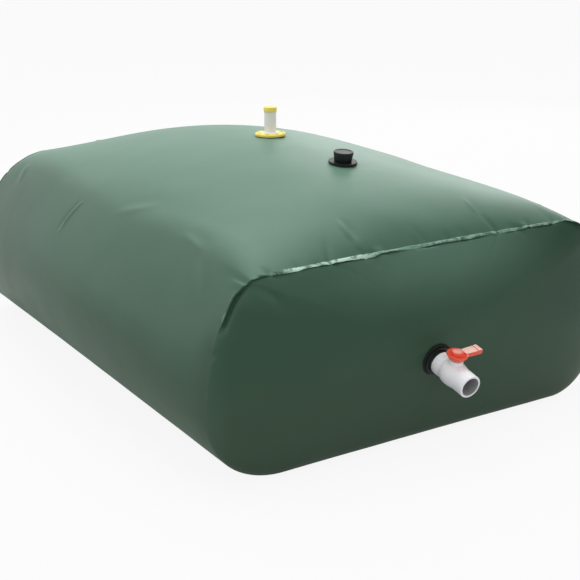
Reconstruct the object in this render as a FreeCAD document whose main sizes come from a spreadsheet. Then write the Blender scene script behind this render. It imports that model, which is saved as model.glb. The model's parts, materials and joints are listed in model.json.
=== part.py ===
import FreeCAD, Part
import math
import os
import re

import Sketcher

# Collapsible water tank: a pillow of coated fabric, shown full, with a ball valve low in its
# front end, a screwed fill port and a capped vent pipe on its crown.
# The origin is the middle of the underside, +Z is up, the valve faces -Y.
# Each fitting is drawn in its own port frame: Z points out of the tank, and zero is the
# outer face of the sheet that the fitting clamps.

Vector = FreeCAD.Vector
Placement = FreeCAD.Placement
Rotation = FreeCAD.Rotation
ORIGIN = Vector(0, 0, 0)
X_AXIS = Vector(1, 0, 0)
Y_AXIS = Vector(0, 1, 0)
Z_AXIS = Vector(0, 0, 1)

SIZES = {
    # fabric envelope
    "tank_length": 1400,
    "tank_width": 1130,
    "crown_height": 541,
    "shoulder_height": 470,
    "front_seam_height": 420,
    "rear_seam_height": 440,
    "end_width": 1050,
    "side_radius": 218,
    "end_side_radius": 145,
    "side_angle": 52,
    "end_side_angle": 28,
    "corner_radius": 340,
    "front_corner_radius": 85,
    "rear_corner_radius": 190,
    "crown_angle": 26.5,
    "end_crown_angle": 0.6,
    "dish_depth": 52,
    "end_fade": 2.0,
    "shoulder_fade": 6,
    "sheet_thickness": 1.2,
    "underside_press": 0.3,
    # gathered weld lip round each end
    "lip_reach": 9,
    "lip_thickness": 2.4,
    "lip_gap": 0.4,
    "gather_length": 46,
    "gather_height": 2.6,
    "gathers_per_wave": 6,
    "lip_end_height": 325,
    # outlet: through-wall fitting
    "outlet_height": 181,
    "outlet_droop": 13,
    "outlet_rim_radius": 46,
    "outlet_rim_fade": 45,
    "spigot_radius": 19.9,
    "spigot_bore": 16,
    "seal_inset": 1,
    "chamfer": 1,
    "bevel": 1.5,
    "cut_margin": 1,
    "joint_gap": 0.1,
    "outlet_flange_radius": 38,
    "outlet_flange_thickness": 5,
    "outlet_gasket_thickness": 2,
    "outlet_washer_thickness": 2,
    "wall_hole_clearance": 0.5,
    "nut_skirt_radius": 34.5,
    "nut_skirt_height": 5,
    "nut_collar_radius": 29.5,
    "nut_collar_height": 6,
    "nut_lug_height": 3,
    "nut_lug_width": 5,
    "nut_lug_count": 12,
    "lug_root": 2,
    "lug_taper": 0.8,
    "nut_bore_clearance": 0.2,
    # outlet: ball valve
    "valve_gap": 0.3,
    "socket_bore": 20,
    "socket_wall": 5,
    "inlet_socket_depth": 20,
    "outlet_socket_depth": 30,
    "water_bore": 16,
    "ball_radius": 21.5,
    "ball_offset": 42,
    "cavity_clearance": 0.8,
    "housing_wall": 5.2,
    "housing_half_length": 17,
    "housing_slope": 5,
    "housing_rim": 4,
    "seat_inset": 4,
    "seat_depth": 6.5,
    "seat_width": 3.8,
    "seat_clearance": 0.1,
    "end_collar_radius": 28,
    "end_collar_length": 3,
    "end_collar_slope": 2.5,
    "mouth_flare": 0.4,
    "mouth_round": 0.6,
    "end_passage_length": 9.2,
    # outlet: stem and lever
    "stem_radius": 8,
    "stem_clearance": 0.05,
    "stem_collar_radius": 10.3,
    "stem_collar_height": 2.8,
    "collar_clearance": 0.1,
    "tang_width": 6,
    "tang_length": 15,
    "tang_depth": 4.4,
    "tang_root": 0.5,
    "tang_clearance": 0.1,
    "boss_radius": 15.5,
    "boss_height": 6,
    "ring_section_radius": 1.3,
    "ring_clearance": 0.025,
    "ring_groove_play": 0.1,
    "ring_start": 1.9,
    "ring_spacing": 3.6,
    "drive_side": 10,
    "drive_height": 7,
    "drive_root": 0.2,
    "drive_clearance": 0.1,
    "lever_gap": 0.6,
    "hub_radius": 23,
    "hub_height": 12,
    "hub_bevel": 3,
    "lever_reach": 60,
    "lever_thickness": 6,
    "lever_width": 20,
    "lever_rise": 3,
    "lever_groove_width": 3,
    "lever_groove_depth": 1.2,
    "lever_groove_inset": 14,
    "lever_bar_width": 12,
    "lever_bar_height": 4,
    "lever_bar_slope": 3,
    # fill port
    "port_offset": 33,
    "fill_setback": 402,
    "patch_radius": 46,
    "patch_thickness": 5,
    "patch_stand": 0.9,
    "fill_spigot_radius": 20,
    "fill_bore": 15.5,
    "fill_spigot_drop": 14,
    "fill_flange_radius": 33.5,
    "fill_flange_thickness": 4,
    "fill_gasket_thickness": 2,
    "fill_neck_radius": 18.5,
    "fill_neck_height": 18,
    "fill_nut_radius": 32,
    "fill_nut_height": 7,
    "fill_nut_lug_count": 6,
    "fill_nut_lug_width": 6,
    "fill_nut_taper": 4,
    "cap_clearance": 0.2,
    "cap_skirt_gap": 0.5,
    "cap_foot_radius": 21.2,
    "cap_top_radius": 22.6,
    "cap_top_thickness": 3,
    "cap_rib_count": 24,
    "cap_rib_depth": 0.7,
    "cap_rib_root": 1.4,
    "cap_rib_tip": 0.8,
    "cap_rib_sink": 0.6,
    "cap_rim_width": 4,
    "cap_dish": 0.8,
    "liner_thickness": 1.2,
    "liner_inset": 0.4,
    "liner_gap": 0.05,
    # vent
    "vent_setback": 720,
    "vent_gasket_thickness": 1.5,
    "vent_ring_radius": 38.5,
    "vent_ring_bore": 20.3,
    "vent_ring_height": 6,
    "vent_bolt_circle": 32.3,
    "vent_bolt_count": 8,
    "vent_bolt_radius": 2,
    "bolt_hole_clearance": 0.2,
    "bolt_head_radius": 3.6,
    "bolt_head_height": 2.2,
    "bolt_recess_depth": 3,
    "bolt_recess_clearance": 0.4,
    "bolt_slot_width": 1,
    "bolt_slot_depth": 0.8,
    "thread_gap": 0.05,
    "backing_ring_thickness": 4,
    "nut_flat_radius": 3.6,
    "nut_height": 3.2,
    "bolt_end": 2,
    "tube_radius": 15,
    "tube_bore": 13,
    "tube_drop": 14,
    "tube_height": 68,
    "tube_disc_radius": 26,
    "tube_disc_thickness": 2.5,
    "tube_flare_radius": 20,
    "tube_flare_height": 9,
    "tube_flare_step": 0.5,
    "vent_cap_wall": 1.2,
    "vent_cap_height": 16,
    "vent_cap_top": 2.6,
    "vent_cap_clearance": 0.15,
    "disc_clearance": 0.3,
}

document = FreeCAD.newDocument("water_tank")
sheet = document.addObject("Spreadsheet::Sheet", "Sizes")
for row, (alias, value) in enumerate(SIZES.items(), start=1):
    sheet.set("A%d" % row, alias.replace("_", " "))
    sheet.set("B%d" % row, str(value))
    sheet.setAlias("B%d" % row, alias)
document.recompute()

sub_parts = []


def size(alias):
    """One size from the sheet, as a number."""
    return float(sheet.get(alias))


def linked(text):
    """An expression in which each size's name points to its cell."""
    def point(match):
        word = match.group()
        return "Sizes." + word if word in SIZES else word
    return re.sub(r"[a-z][a-z_]*", point, text)


def keep(item, label, frame):
    """Name a finished sub-part and put it in its place."""
    item.Label = label
    item.Placement = frame
    sub_parts.append(item)
    return item


# Sketches and features

def new_body(label):
    return document.addObject("PartDesign::Body", label + "_body")


def new_sketch(body, name, plane):
    """A sketch on one of the body's own origin planes."""
    support = next(item for item in body.Origin.OriginFeatures if item.Role == plane)
    sketch = body.newObject("Sketcher::SketchObject", body.Name + "_" + name)
    sketch.AttachmentSupport = [(support, "")]
    sketch.MapMode = "FlatFace"
    return sketch


def place_point(sketch, geometry, end, across, up):
    """Hold one point of a sketch at a place given by two expressions."""
    for kind, text in (("DistanceX", across), ("DistanceY", up)):
        index = sketch.addConstraint(Sketcher.Constraint(kind, -1, 1, geometry, end, 1.0))
        sketch.setExpression("Constraints[%d]" % index, linked(text))


def draw_outline(sketch, corners):
    """A closed outline of straight lines; each corner is a pair of expressions."""
    count = len(corners)
    turn = 2 * math.pi / count
    rough = [Vector(10 + math.cos(turn * i), 10 + math.sin(turn * i), 0) for i in range(count)]
    for i in range(count):
        sketch.addGeometry(Part.LineSegment(rough[i], rough[(i + 1) % count]), False)
    for i in range(count):
        sketch.addConstraint(Sketcher.Constraint("Coincident", i, 2, (i + 1) % count, 1))
    for i, (across, up) in enumerate(corners):
        place_point(sketch, i, 1, across, up)


def draw_circle(sketch, radius, across="0", up="0"):
    """A circle whose radius and centre are expressions."""
    index = sketch.addGeometry(Part.Circle(ORIGIN, Z_AXIS, 1.0), False)
    held = sketch.addConstraint(Sketcher.Constraint("Radius", index, 1.0))
    sketch.setExpression("Constraints[%d]" % held, linked(radius))
    place_point(sketch, index, 3, across, up)


def turn_profile(body, kind, name, corners):
    """Revolve an outline of radius and height pairs about the body's Z axis."""
    sketch = new_sketch(body, name, "XZ_Plane")
    draw_outline(sketch, corners)
    feature = body.newObject("PartDesign::" + kind, sketch.Name + "_turned")
    feature.Profile = sketch
    feature.ReferenceAxis = (sketch, ["V_Axis"])
    feature.Angle = 360
    return feature


def extrude(body, kind, sketch, length, back=False, both=False):
    """Pad or pocket a sketch by a length given as an expression."""
    feature = body.newObject("PartDesign::" + kind, sketch.Name + "_" + kind.lower())
    feature.Profile = sketch
    feature.Reversed = back
    feature.Midplane = both
    feature.setExpression("Length", linked(length))
    return feature


def lift(sketch, height):
    """Raise a sketch off its plane by an expression."""
    sketch.setExpression(".AttachmentOffset.Base.z", linked(height))


def repeat(body, feature, count):
    """Repeat a feature evenly round the body's Z axis."""
    pattern = body.newObject("PartDesign::PolarPattern", feature.Name + "_round")
    pattern.Originals = [feature]
    axis = next(item for item in body.Origin.OriginFeatures if item.Role == "Z_Axis")
    pattern.Axis = (axis, [""])
    pattern.Angle = 360
    pattern.setExpression("Occurrences", linked(count))
    body.Tip = pattern
    return pattern


def turned_part(label, corners, frame):
    """A round sub-part made by one revolved outline."""
    body = new_body(label)
    turn_profile(body, "Revolution", "outline", corners)
    return keep(body, label, frame)


def ring_part(label, inner, outer, bottom, top, frame):
    """A flat ring, such as a gasket or a washer."""
    corners = [(inner, bottom), (outer, bottom), (outer, top), (inner, top)]
    return turned_part(label, corners, frame)


# Fabric envelope

half_length = size("tank_length") / 2
seam_place = half_length - size("dish_depth")


def blend(middle, end, share):
    """A size of the cross-section at a share of the way from the middle to a seam."""
    return size(middle) + (size(end) - size(middle)) * share ** size("end_fade")


def section_arcs(place):
    """Half width of the flat underside at a place along Y, and the four arcs above it.

    Each arc is its centre, its radius, and where it starts and stops in degrees. The side arc
    and the crown arc end at given angles, with the corner arc between them, and their radii
    follow from the width and the height.
    """
    share = abs(place) / seam_place
    half_width = blend("tank_width", "end_width", share) / 2
    end = "front" if place < 0 else "rear"
    height = blend("crown_height", "shoulder_height", share) + size("underside_press")
    fall = size(end + "_seam_height") - size("shoulder_height")
    height += fall * share ** size("shoulder_fade")
    low = blend("side_radius", "end_side_radius", share)
    corner = blend("corner_radius", end + "_corner_radius", share)
    steep = blend("side_angle", "end_side_angle", share)
    level = 90 - blend("crown_angle", "end_crown_angle", share)
    side_run, side_climb = math.cos(math.radians(steep)), math.sin(math.radians(steep))
    crown_run, crown_climb = math.cos(math.radians(level)), math.sin(math.radians(level))
    width_left = half_width - corner * (side_run - crown_run)
    rise_left = height - low + corner * (side_climb - crown_climb)
    balance = (1 - side_run) * (1 - crown_climb) - crown_run * side_climb
    side = (width_left * (1 - crown_climb) - crown_run * rise_left) / balance
    crown = ((1 - side_run) * rise_left - side_climb * width_left) / balance
    corner_x = half_width - side + (side - corner) * side_run
    corner_z = low + (side - corner) * side_climb
    flat = half_width - low
    return flat, (
        (flat, low, low, -90, 0),
        (half_width - side, low, side, 0, steep),
        (corner_x, corner_z, corner, steep, level),
        (0, height - crown, crown, level, 90),
    )


def arc_point(side, place, arc, turn, inset):
    """Point of one arc, on the right for side 1 and on the left for side -1."""
    centre_x, centre_z, radius = arc[:3]
    reach = radius - inset
    x = centre_x + reach * math.cos(math.radians(turn))
    z = centre_z + reach * math.sin(math.radians(turn)) - size("underside_press")
    return Vector(side * x, place, z)


def section_wire(place, inset):
    """Closed outline of the cross-section, drawn in from the sheet's outer face by an inset."""
    arcs = section_arcs(place)[1]

    def half_outline(side):
        floor = arc_point(side, place, arcs[0], -90, inset)
        yield Part.makeLine(Vector(0, place, floor.z), floor)
        for arc in arcs:
            start, stop = arc[3:]
            ends = [arc_point(side, place, arc, turn, inset)
                    for turn in (start, (start + stop) / 2, stop)]
            yield Part.Arc(*ends).toShape()

    edges = list(half_outline(1)) + list(half_outline(-1))[::-1]
    return Part.Wire(edges)


FLAT_STEPS = 10
ARC_STEPS = (6, 7, 2, 11)


def section_points(place, inset):
    """Points round the same outline, at nearly even steps."""
    flat, arcs = section_arcs(place)
    floor = inset - size("underside_press")
    right = [Vector(flat * k / FLAT_STEPS, place, floor) for k in range(FLAT_STEPS)]
    for arc, steps in zip(arcs, ARC_STEPS):
        start, stop = arc[3:]
        right += [arc_point(1, place, arc, start + (stop - start) * k / steps, inset)
                  for k in range(steps)]
    left = [Vector(-point.x, place, point.z) for point in right[::-1]]
    return right + [arc_point(1, place, arcs[-1], 90, inset)] + left


LOFT_SHARES = (0, 0.3, 0.6, 0.8, 0.9, 0.96, 1)


def lofted_skin(inset):
    """Solid inside one skin of the sheet, between the two seams."""
    shares = [-share for share in LOFT_SHARES[:0:-1]] + list(LOFT_SHARES)
    wires = [section_wire(share * seam_place, inset) for share in shares]
    return Part.makeLoft(wires, True, False)


def ground_trim():
    """Block under the ground plane, which presses the underside flat."""
    wide = 2 * size("tank_length")
    deep = size("crown_height")
    return Part.makeBox(wide, wide, deep, Vector(-wide / 2, -wide / 2, -deep))


def crown_level(skin, place):
    """Height of a skin above the line of the ports, at a place along Y."""
    top = size("crown_height")
    offset = size("port_offset")
    post = Part.makeLine(Vector(offset, place, top / 2), Vector(offset, place, 2 * top))
    return max(vertex.Z for vertex in skin.common(post).Vertexes)


def crown_frame(skin, setback):
    """Port frame on the crown, at a distance behind the front of the tank."""
    place = setback - half_length
    probe = size("patch_radius") / 2
    climb = crown_level(skin, place + probe) - crown_level(skin, place - probe)
    lean = math.degrees(math.atan2(climb, 2 * probe))
    turn = Rotation(X_AXIS, lean)
    foot = Vector(size("port_offset"), place, crown_level(skin, place))
    return Placement(foot + turn.multVec(Z_AXIS) * size("patch_stand"), turn)


def port_cylinder(frame, radius, bottom, top, across=0, along=0):
    """Round solid on a port frame, for a patch or a hole."""
    solid = Part.makeCylinder(radius, top - bottom, Vector(across, along, bottom), Z_AXIS)
    solid.Placement = frame
    return solid


def bolt_places():
    """Where the vent's bolts stand on their circle, in its port frame."""
    count = int(size("vent_bolt_count"))
    circle = size("vent_bolt_circle")
    for i in range(count):
        turn = 2 * math.pi * i / count
        yield circle * math.cos(turn), circle * math.sin(turn)


def wrap_shape(skin, fill_frame, vent_frame):
    """The sheet that goes round the tank, with a welded patch and hole at each top port."""
    wrap = skin.cut(lofted_skin(size("sheet_thickness")))
    thick = size("patch_thickness")
    gap = size("wall_hole_clearance")
    for frame in (fill_frame, vent_frame):
        wrap = wrap.fuse(port_cylinder(frame, size("patch_radius"), -thick, 0))
    holes = [
        port_cylinder(fill_frame, size("fill_spigot_radius") + gap, -4 * thick, thick),
        port_cylinder(vent_frame, size("tube_radius") + gap, -4 * thick, thick),
    ]
    bolt = size("vent_bolt_radius") + size("bolt_hole_clearance")
    for across, along in bolt_places():
        holes.append(port_cylinder(vent_frame, bolt, -4 * thick, thick, across, along))
    for hole in holes:
        wrap = wrap.cut(hole)
    return wrap.cut(ground_trim())


DISH_STEPS = 9
SIDE_POWER = 2.5
UNDER_POWER = 8
CROWN_POWER = 3
SMOOTH_ROOT = 0.5
CREASE_ROOT = 0.8


def fullness(run):
    """How the dish leaves its seam where the seam runs along a given line.

    Returns a power and a root. The sheet turns round smoothly from the underside and the
    long sides, and leans back from the crown, where the seam stays a crease.
    """
    up = abs(run.x) / run.Length
    side = 1 - up * up
    if run.x > 0:
        return SIDE_POWER * side + UNDER_POWER * up * up, SMOOTH_ROOT
    return SIDE_POWER * side + CROWN_POWER * up * up, SMOOTH_ROOT * side + CREASE_ROOT * up * up


def dish_grid(side, frame):
    """Points of an end panel, from its seam in to the flat rim of its seat."""
    seam = section_points(side * seam_place, 0)
    last = len(seam) - 1
    depth = size("dish_depth")
    rim = size("outlet_rim_radius")
    fade = size("outlet_rim_fade")
    facing = frame.Rotation.multVec(Z_AXIS)
    tip = -facing.z / facing.y
    middle = Vector(0, side * seam_place, size("outlet_height"))
    grid = []
    for i, edge in enumerate(seam):
        before = seam[i - 1] if i else seam[-2]
        after = seam[i + 1] if i < last else seam[1]
        power, root = fullness(after - before)
        away = edge - middle
        inner = rim / away.Length
        column = []
        for j in range(DISH_STEPS):
            share = 1 - (1 - inner) * j / DISH_STEPS
            bulge = depth * (1 - share ** power) ** root
            tilt = tip * away.z * share * math.exp((inner - share) * away.Length / fade)
            out = side * bulge + (tilt if j else 0)
            column.append(middle + away * share + Y_AXIS * out)
        heading = math.atan2(-side * away.z, away.x)
        local = Vector(rim * math.cos(heading), rim * math.sin(heading), 0)
        column.append(frame.multVec(local))
        grid.append(column)
    grid[-1] = list(grid[0])
    return grid


def thickened(grid, inner_seam, inset):
    """The same points moved in by the sheet's thickness, square to the surface."""
    last = len(grid) - 1
    moved = []
    for i, column in enumerate(grid):
        before = grid[i - 1] if i else grid[last - 1]
        after = grid[i + 1] if i < last else grid[1]
        inside = [inner_seam[i]]
        for j in range(1, DISH_STEPS):
            around = after[j] - before[j]
            inward = column[j + 1] - column[j - 1]
            square = around.cross(inward).normalize()
            toward = Vector(0, -column[j].y, 0)
            if square.dot(toward) < 0:
                square = square * -1
            inside.append(column[j] + square * inset)
        moved.append(inside)
    return moved


def sheet_face(grid):
    """Smooth face through a grid of points that closes on itself."""
    surface = Part.BSplineSurface()
    surface.interpolate(grid)
    return surface.toShape()


def edge_from(face, start):
    """Wire of the closed edge of a face that starts at a given point."""
    closed = [edge for edge in face.Edges if edge.isClosed()]
    nearest = min(closed, key=lambda edge: edge.Vertexes[0].Point.distanceToPoint(start))
    return Part.Wire(nearest)


def end_panel_shape(side, frame, hole_radius):
    """Dished end panel of sheet, with a flat clamped seat when it has a hole."""
    thick = size("sheet_thickness")
    outer = dish_grid(side, frame)
    inner_seam = section_points(side * seam_place, thick)
    inner = thickened(outer, inner_seam, thick)
    for i, column in enumerate(inner):
        local = frame.inverse().multVec(outer[i][-1])
        column.append(frame.multVec(Vector(local.x, local.y, -thick)))
    inner[-1] = list(inner[0])
    skins = [sheet_face(outer), sheet_face(inner)]
    seams = [edge_from(face, grid[0][0]) for face, grid in zip(skins, (outer, inner))]
    rims = [edge_from(face, grid[0][-1]) for face, grid in zip(skins, (outer, inner))]
    flats = [Part.makeFace(seams, "Part::FaceMakerBullseye")]
    flats += [Part.Face(rim) for rim in rims]
    shell = Part.makeShell(skins + flats)
    shell.sewShape()
    panel = Part.Solid(shell.Shells[0])
    if panel.Volume < 0:
        panel.reverse()
    if hole_radius:
        panel = panel.cut(port_cylinder(frame, hole_radius, -10 * thick, 10 * thick))
    return panel.cut(ground_trim())


LIP_FADE_LENGTHS = 4
LIP_LEAST = 0.25
LIP_EDGE = 0.6
SECOND_WAVE = (0.45, 1.73, 1)
WANDER_WAVE = (0.18, 0.61)


def lip_shape(side):
    """Gathered weld lip that stands off the seam and fades out down each long side."""
    seam = section_wire(side * seam_place, 0)
    total = seam.Length
    steps = int(total / size("gather_length") * size("gathers_per_wave"))
    points = seam.discretize(steps + 1)
    low = size("lip_end_height")
    reach = size("lip_reach")
    thick = size("lip_thickness")
    gap = size("lip_gap")
    pace = total / steps
    top = [i for i in range(1, steps) if points[i].z > low]
    wires = []
    for i in top:
        run = (points[i + 1] - points[i - 1]).normalize()
        out = Vector(run.z, 0, -run.x)
        if out.z * (points[i].z - low) + out.x * points[i].x < 0:
            out = out * -1
        along = min(i - top[0], top[-1] - i) * pace
        fade = min(1.0, LIP_LEAST + along / (LIP_FADE_LENGTHS * size("gather_length")))
        phase = 2 * math.pi * i * pace / size("gather_length")
        height, rate, shift = SECOND_WAVE
        wave = math.sin(phase) + height * math.sin(rate * phase + shift)
        wander = 1 + WANDER_WAVE[0] * math.sin(WANDER_WAVE[1] * phase)
        foot = points[i] + out * gap
        tip = foot + Y_AXIS * (side * reach * wander * fade)
        tip = tip + out * (size("gather_height") * fade * (wave + 1))
        rise = out * (thick * (1 - LIP_EDGE + LIP_EDGE * fade))
        wires.append(Part.makePolygon([foot, tip, tip + rise * LIP_EDGE, foot + rise, foot]))
    return Part.makeLoft(wires, True, True)


def feature(label, shape):
    """A sub-part whose shape is worked out from the sheet above."""
    item = document.addObject("Part::Feature", label + "_shape")
    item.Shape = shape
    return keep(item, label, item.Placement)


# Outlet fitting and ball valve

def outlet_frame():
    """Port frame low in the front end, tipped down by the weight of the valve."""
    turn = Rotation(X_AXIS, 90 + size("outlet_droop"))
    return Placement(Vector(0, -half_length, size("outlet_height")), turn)


def rear_frame():
    """Frame of the plain middle of the rear end panel."""
    place = Vector(0, half_length, size("outlet_height"))
    return Placement(place, Rotation(X_AXIS, -90))


NUT_FOOT = "outlet_washer_thickness"
NUT_STEP = NUT_FOOT + " + nut_skirt_height"
NUT_TOP = NUT_STEP + " + nut_collar_height"
VALVE_FOOT = NUT_TOP + " + valve_gap"
INLET_FLOOR = VALVE_FOOT + " + inlet_socket_depth"
BALL_PLACE = VALVE_FOOT + " + ball_offset"
CAVITY = "ball_radius + cavity_clearance"
HOUSING = CAVITY + " + housing_wall"
BODY_END = BALL_PLACE + " + housing_half_length"
SEAT_BACK = "ball_radius - seat_inset"
SEAT_FRONT = SEAT_BACK + " - seat_depth"
SEAT_RADIUS = "water_bore + seat_width"
SOCKET = "socket_bore + socket_wall"
END_FLOOR = BALL_PLACE + " + " + SEAT_BACK + " + end_passage_length"
VALVE_END = END_FLOOR + " + outlet_socket_depth"
BOSS_TOP = HOUSING + " + boss_height"
HUB_FOOT = BOSS_TOP + " + lever_gap"
STEM_COLLAR = CAVITY + " + collar_clearance"
STEM_SHAFT = STEM_COLLAR + " + stem_collar_height"


def ball_place():
    """Distance of the ball's centre from the wall."""
    parts = ("outlet_washer_thickness", "nut_skirt_height", "nut_collar_height", "valve_gap",
             "ball_offset")
    return sum(size(part) for part in parts)


def outlet_spigot(frame):
    back = "-(sheet_thickness + outlet_gasket_thickness)"
    deep = back + " - outlet_flange_thickness"
    corners = [
        ("spigot_bore", deep),
        ("outlet_flange_radius", deep),
        ("outlet_flange_radius", back),
        ("spigot_radius", back),
        ("spigot_radius", INLET_FLOOR + " - valve_gap"),
        ("spigot_bore", INLET_FLOOR + " - valve_gap"),
    ]
    turned_part("outlet_spigot", corners, frame)


def outlet_seals(frame):
    hole = "spigot_radius + wall_hole_clearance"
    inside = "-(sheet_thickness + outlet_gasket_thickness)"
    ring_part("outlet_inner_gasket", hole, "outlet_flange_radius - seal_inset",
              inside, "-sheet_thickness", frame)
    ring_part("outlet_washer", hole, "outlet_flange_radius - seal_inset", "0", NUT_FOOT, frame)


def outlet_locknut(frame):
    """Two-step nut whose lower step carries grip lugs."""
    body = new_body("outlet_locknut")
    bore = "spigot_radius + nut_bore_clearance"
    turn_profile(body, "Revolution", "outline", [
        (bore, NUT_FOOT),
        ("nut_skirt_radius", NUT_FOOT),
        ("nut_skirt_radius", NUT_STEP),
        ("nut_collar_radius", NUT_STEP),
        ("nut_collar_radius - chamfer", NUT_TOP),
        (bore, NUT_TOP),
    ])
    lug = new_sketch(body, "lug", "XY_Plane")
    lift(lug, NUT_FOOT)
    draw_outline(lug, [
        ("nut_skirt_radius - lug_root", "-nut_lug_width / 2"),
        ("nut_skirt_radius + nut_lug_height", "-nut_lug_width / 2 + lug_taper"),
        ("nut_skirt_radius + nut_lug_height", "nut_lug_width / 2 - lug_taper"),
        ("nut_skirt_radius - lug_root", "nut_lug_width / 2"),
    ])
    repeat(body, extrude(body, "Pad", lug, "nut_skirt_height"), "nut_lug_count")
    rib = new_sketch(body, "rib", "XY_Plane")
    lift(rib, NUT_STEP)
    draw_outline(rib, [
        ("nut_collar_radius - lug_root", "-nut_lug_width / 3"),
        ("nut_skirt_radius - chamfer", "-nut_lug_width / 3"),
        ("nut_skirt_radius - chamfer", "nut_lug_width / 3"),
        ("nut_collar_radius - lug_root", "nut_lug_width / 3"),
    ])
    repeat(body, extrude(body, "Pad", rib, "nut_collar_height - chamfer"), "nut_lug_count")
    keep(body, "outlet_locknut", frame)


def valve_body(frame):
    """Inlet socket and ball housing in one moulding, with a boss for the stem."""
    body = new_body("valve_body")
    turn_profile(body, "Revolution", "outside", [
        ("0", VALVE_FOOT),
        (SOCKET, VALVE_FOOT),
        (SOCKET, BALL_PLACE + " - housing_half_length - housing_slope"),
        (HOUSING, BALL_PLACE + " - housing_half_length"),
        (HOUSING, BODY_END + " - housing_rim"),
        (HOUSING + " - bevel", BODY_END),
        ("0", BODY_END),
    ])
    boss = new_sketch(body, "boss", "XZ_Plane")
    draw_circle(boss, "boss_radius", "0", BALL_PLACE)
    extrude(body, "Pad", boss, BOSS_TOP, back=True)
    turn_profile(body, "Groove", "waterway", [
        ("0", VALVE_FOOT + " - cut_margin"),
        ("socket_bore", VALVE_FOOT + " - cut_margin"),
        ("socket_bore", INLET_FLOOR),
        ("water_bore", INLET_FLOOR),
        ("water_bore", BALL_PLACE + " - (" + SEAT_BACK + ")"),
        (SEAT_RADIUS + " + seat_clearance", BALL_PLACE + " - (" + SEAT_BACK + ")"),
        (SEAT_RADIUS + " + seat_clearance", BALL_PLACE + " - (" + SEAT_FRONT + ")"),
        (CAVITY, BALL_PLACE + " - (" + SEAT_FRONT + ")"),
        (CAVITY, BODY_END + " + cut_margin"),
        ("0", BODY_END + " + cut_margin"),
    ])
    recess = new_sketch(body, "collar_recess", "XZ_Plane")
    draw_circle(recess, "stem_collar_radius + stem_clearance", "0", BALL_PLACE)
    extrude(body, "Pocket", recess, STEM_SHAFT + " + collar_clearance")
    bore = new_sketch(body, "stem_bore", "XZ_Plane")
    draw_circle(bore, "stem_radius + stem_clearance", "0", BALL_PLACE)
    extrude(body, "Pocket", bore, BOSS_TOP + " + cut_margin")
    keep(body, "valve_body", frame)


def valve_end_socket(frame):
    """Outlet socket, plugged into the housing behind the outer seat ring."""
    front = BALL_PLACE + " + " + SEAT_FRONT
    back = BALL_PLACE + " + " + SEAT_BACK
    collar = BODY_END + " + joint_gap"
    turned_part("valve_end_socket", [
        (SEAT_RADIUS + " + seat_clearance", front),
        (CAVITY + " - joint_gap", front),
        (CAVITY + " - joint_gap", collar),
        ("end_collar_radius", collar),
        ("end_collar_radius", collar + " + end_collar_length"),
        (SOCKET, collar + " + end_collar_length + end_collar_slope"),
        (SOCKET + " + mouth_flare", VALVE_END + " - chamfer"),
        (SOCKET + " - mouth_round", VALVE_END),
        ("socket_bore", VALVE_END),
        ("socket_bore", END_FLOOR),
        ("water_bore", END_FLOOR),
        ("water_bore", back),
        (SEAT_RADIUS + " + seat_clearance", back),
    ], frame)


def primitive(kind, name, frame=None, **expressions):
    """A Part primitive whose properties are expressions."""
    item = document.addObject("Part::" + kind, name)
    for key, text in expressions.items():
        item.setExpression(key, linked(text))
    if frame:
        item.Placement = frame
    return item


def cut(name, base, tool):
    result = document.addObject("Part::Cut", name)
    result.Base = base
    result.Tool = tool
    return result


def seat_ring(label, frame, facing):
    """Soft ring with a round face that the ball turns against."""
    centre = ball_place()
    back = size("ball_radius") - size("seat_inset")
    foot = centre - back if facing > 0 else centre + back - size("seat_depth")
    blank = primitive("Cylinder", label + "_blank", Placement(Z_AXIS * foot, Rotation()),
                      Radius=SEAT_RADIUS, Height="seat_depth")
    below = Placement(Z_AXIS * (foot - size("cut_margin")), Rotation())
    way = primitive("Cylinder", label + "_way", below,
                    Radius="water_bore + seat_clearance", Height="seat_depth + 2 * cut_margin")
    ball = primitive("Sphere", label + "_ball", Placement(Z_AXIS * centre, Rotation()),
                     Radius="ball_radius + seat_clearance / 2")
    keep(cut(label + "_ring", cut(label + "_bored", blank, way), ball), label, frame)


def valve_ball(stem):
    """Ball with its water bore, closed across the pipe, and a slot for the stem."""
    ball = primitive("Sphere", "ball_blank", Radius="ball_radius")
    across = Placement(X_AXIS * (-2 * size("ball_radius")), Rotation(Y_AXIS, 90))
    bore = primitive("Cylinder", "ball_bore", across, Radius="water_bore",
                     Height="4 * ball_radius")
    slot = primitive("Box", "ball_slot", Length="tang_width + 2 * tang_clearance",
                     Width="4 * ball_radius", Height="ball_radius")
    slot.setExpression(".Placement.Base.x", linked("-tang_width / 2 - tang_clearance"))
    slot.setExpression(".Placement.Base.y", linked("-2 * ball_radius"))
    slot.setExpression(".Placement.Base.z", linked("ball_radius - tang_depth"))
    keep(cut("ball_slotted", cut("ball_bored", ball, bore), slot), "valve_ball", stem)


GROOVE_FLOOR = "stem_radius - 2 * ring_section_radius"
LOWER_RING = STEM_SHAFT + " + ring_start"
UPPER_RING = LOWER_RING + " + ring_spacing"


def groove_corners(middle):
    """Corners of one ring groove in the side of the stem."""
    low = middle + " - ring_section_radius - ring_groove_play"
    high = middle + " + ring_section_radius + ring_groove_play"
    return [("stem_radius", low), (GROOVE_FLOOR, low), (GROOVE_FLOOR, high), ("stem_radius", high)]


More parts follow.
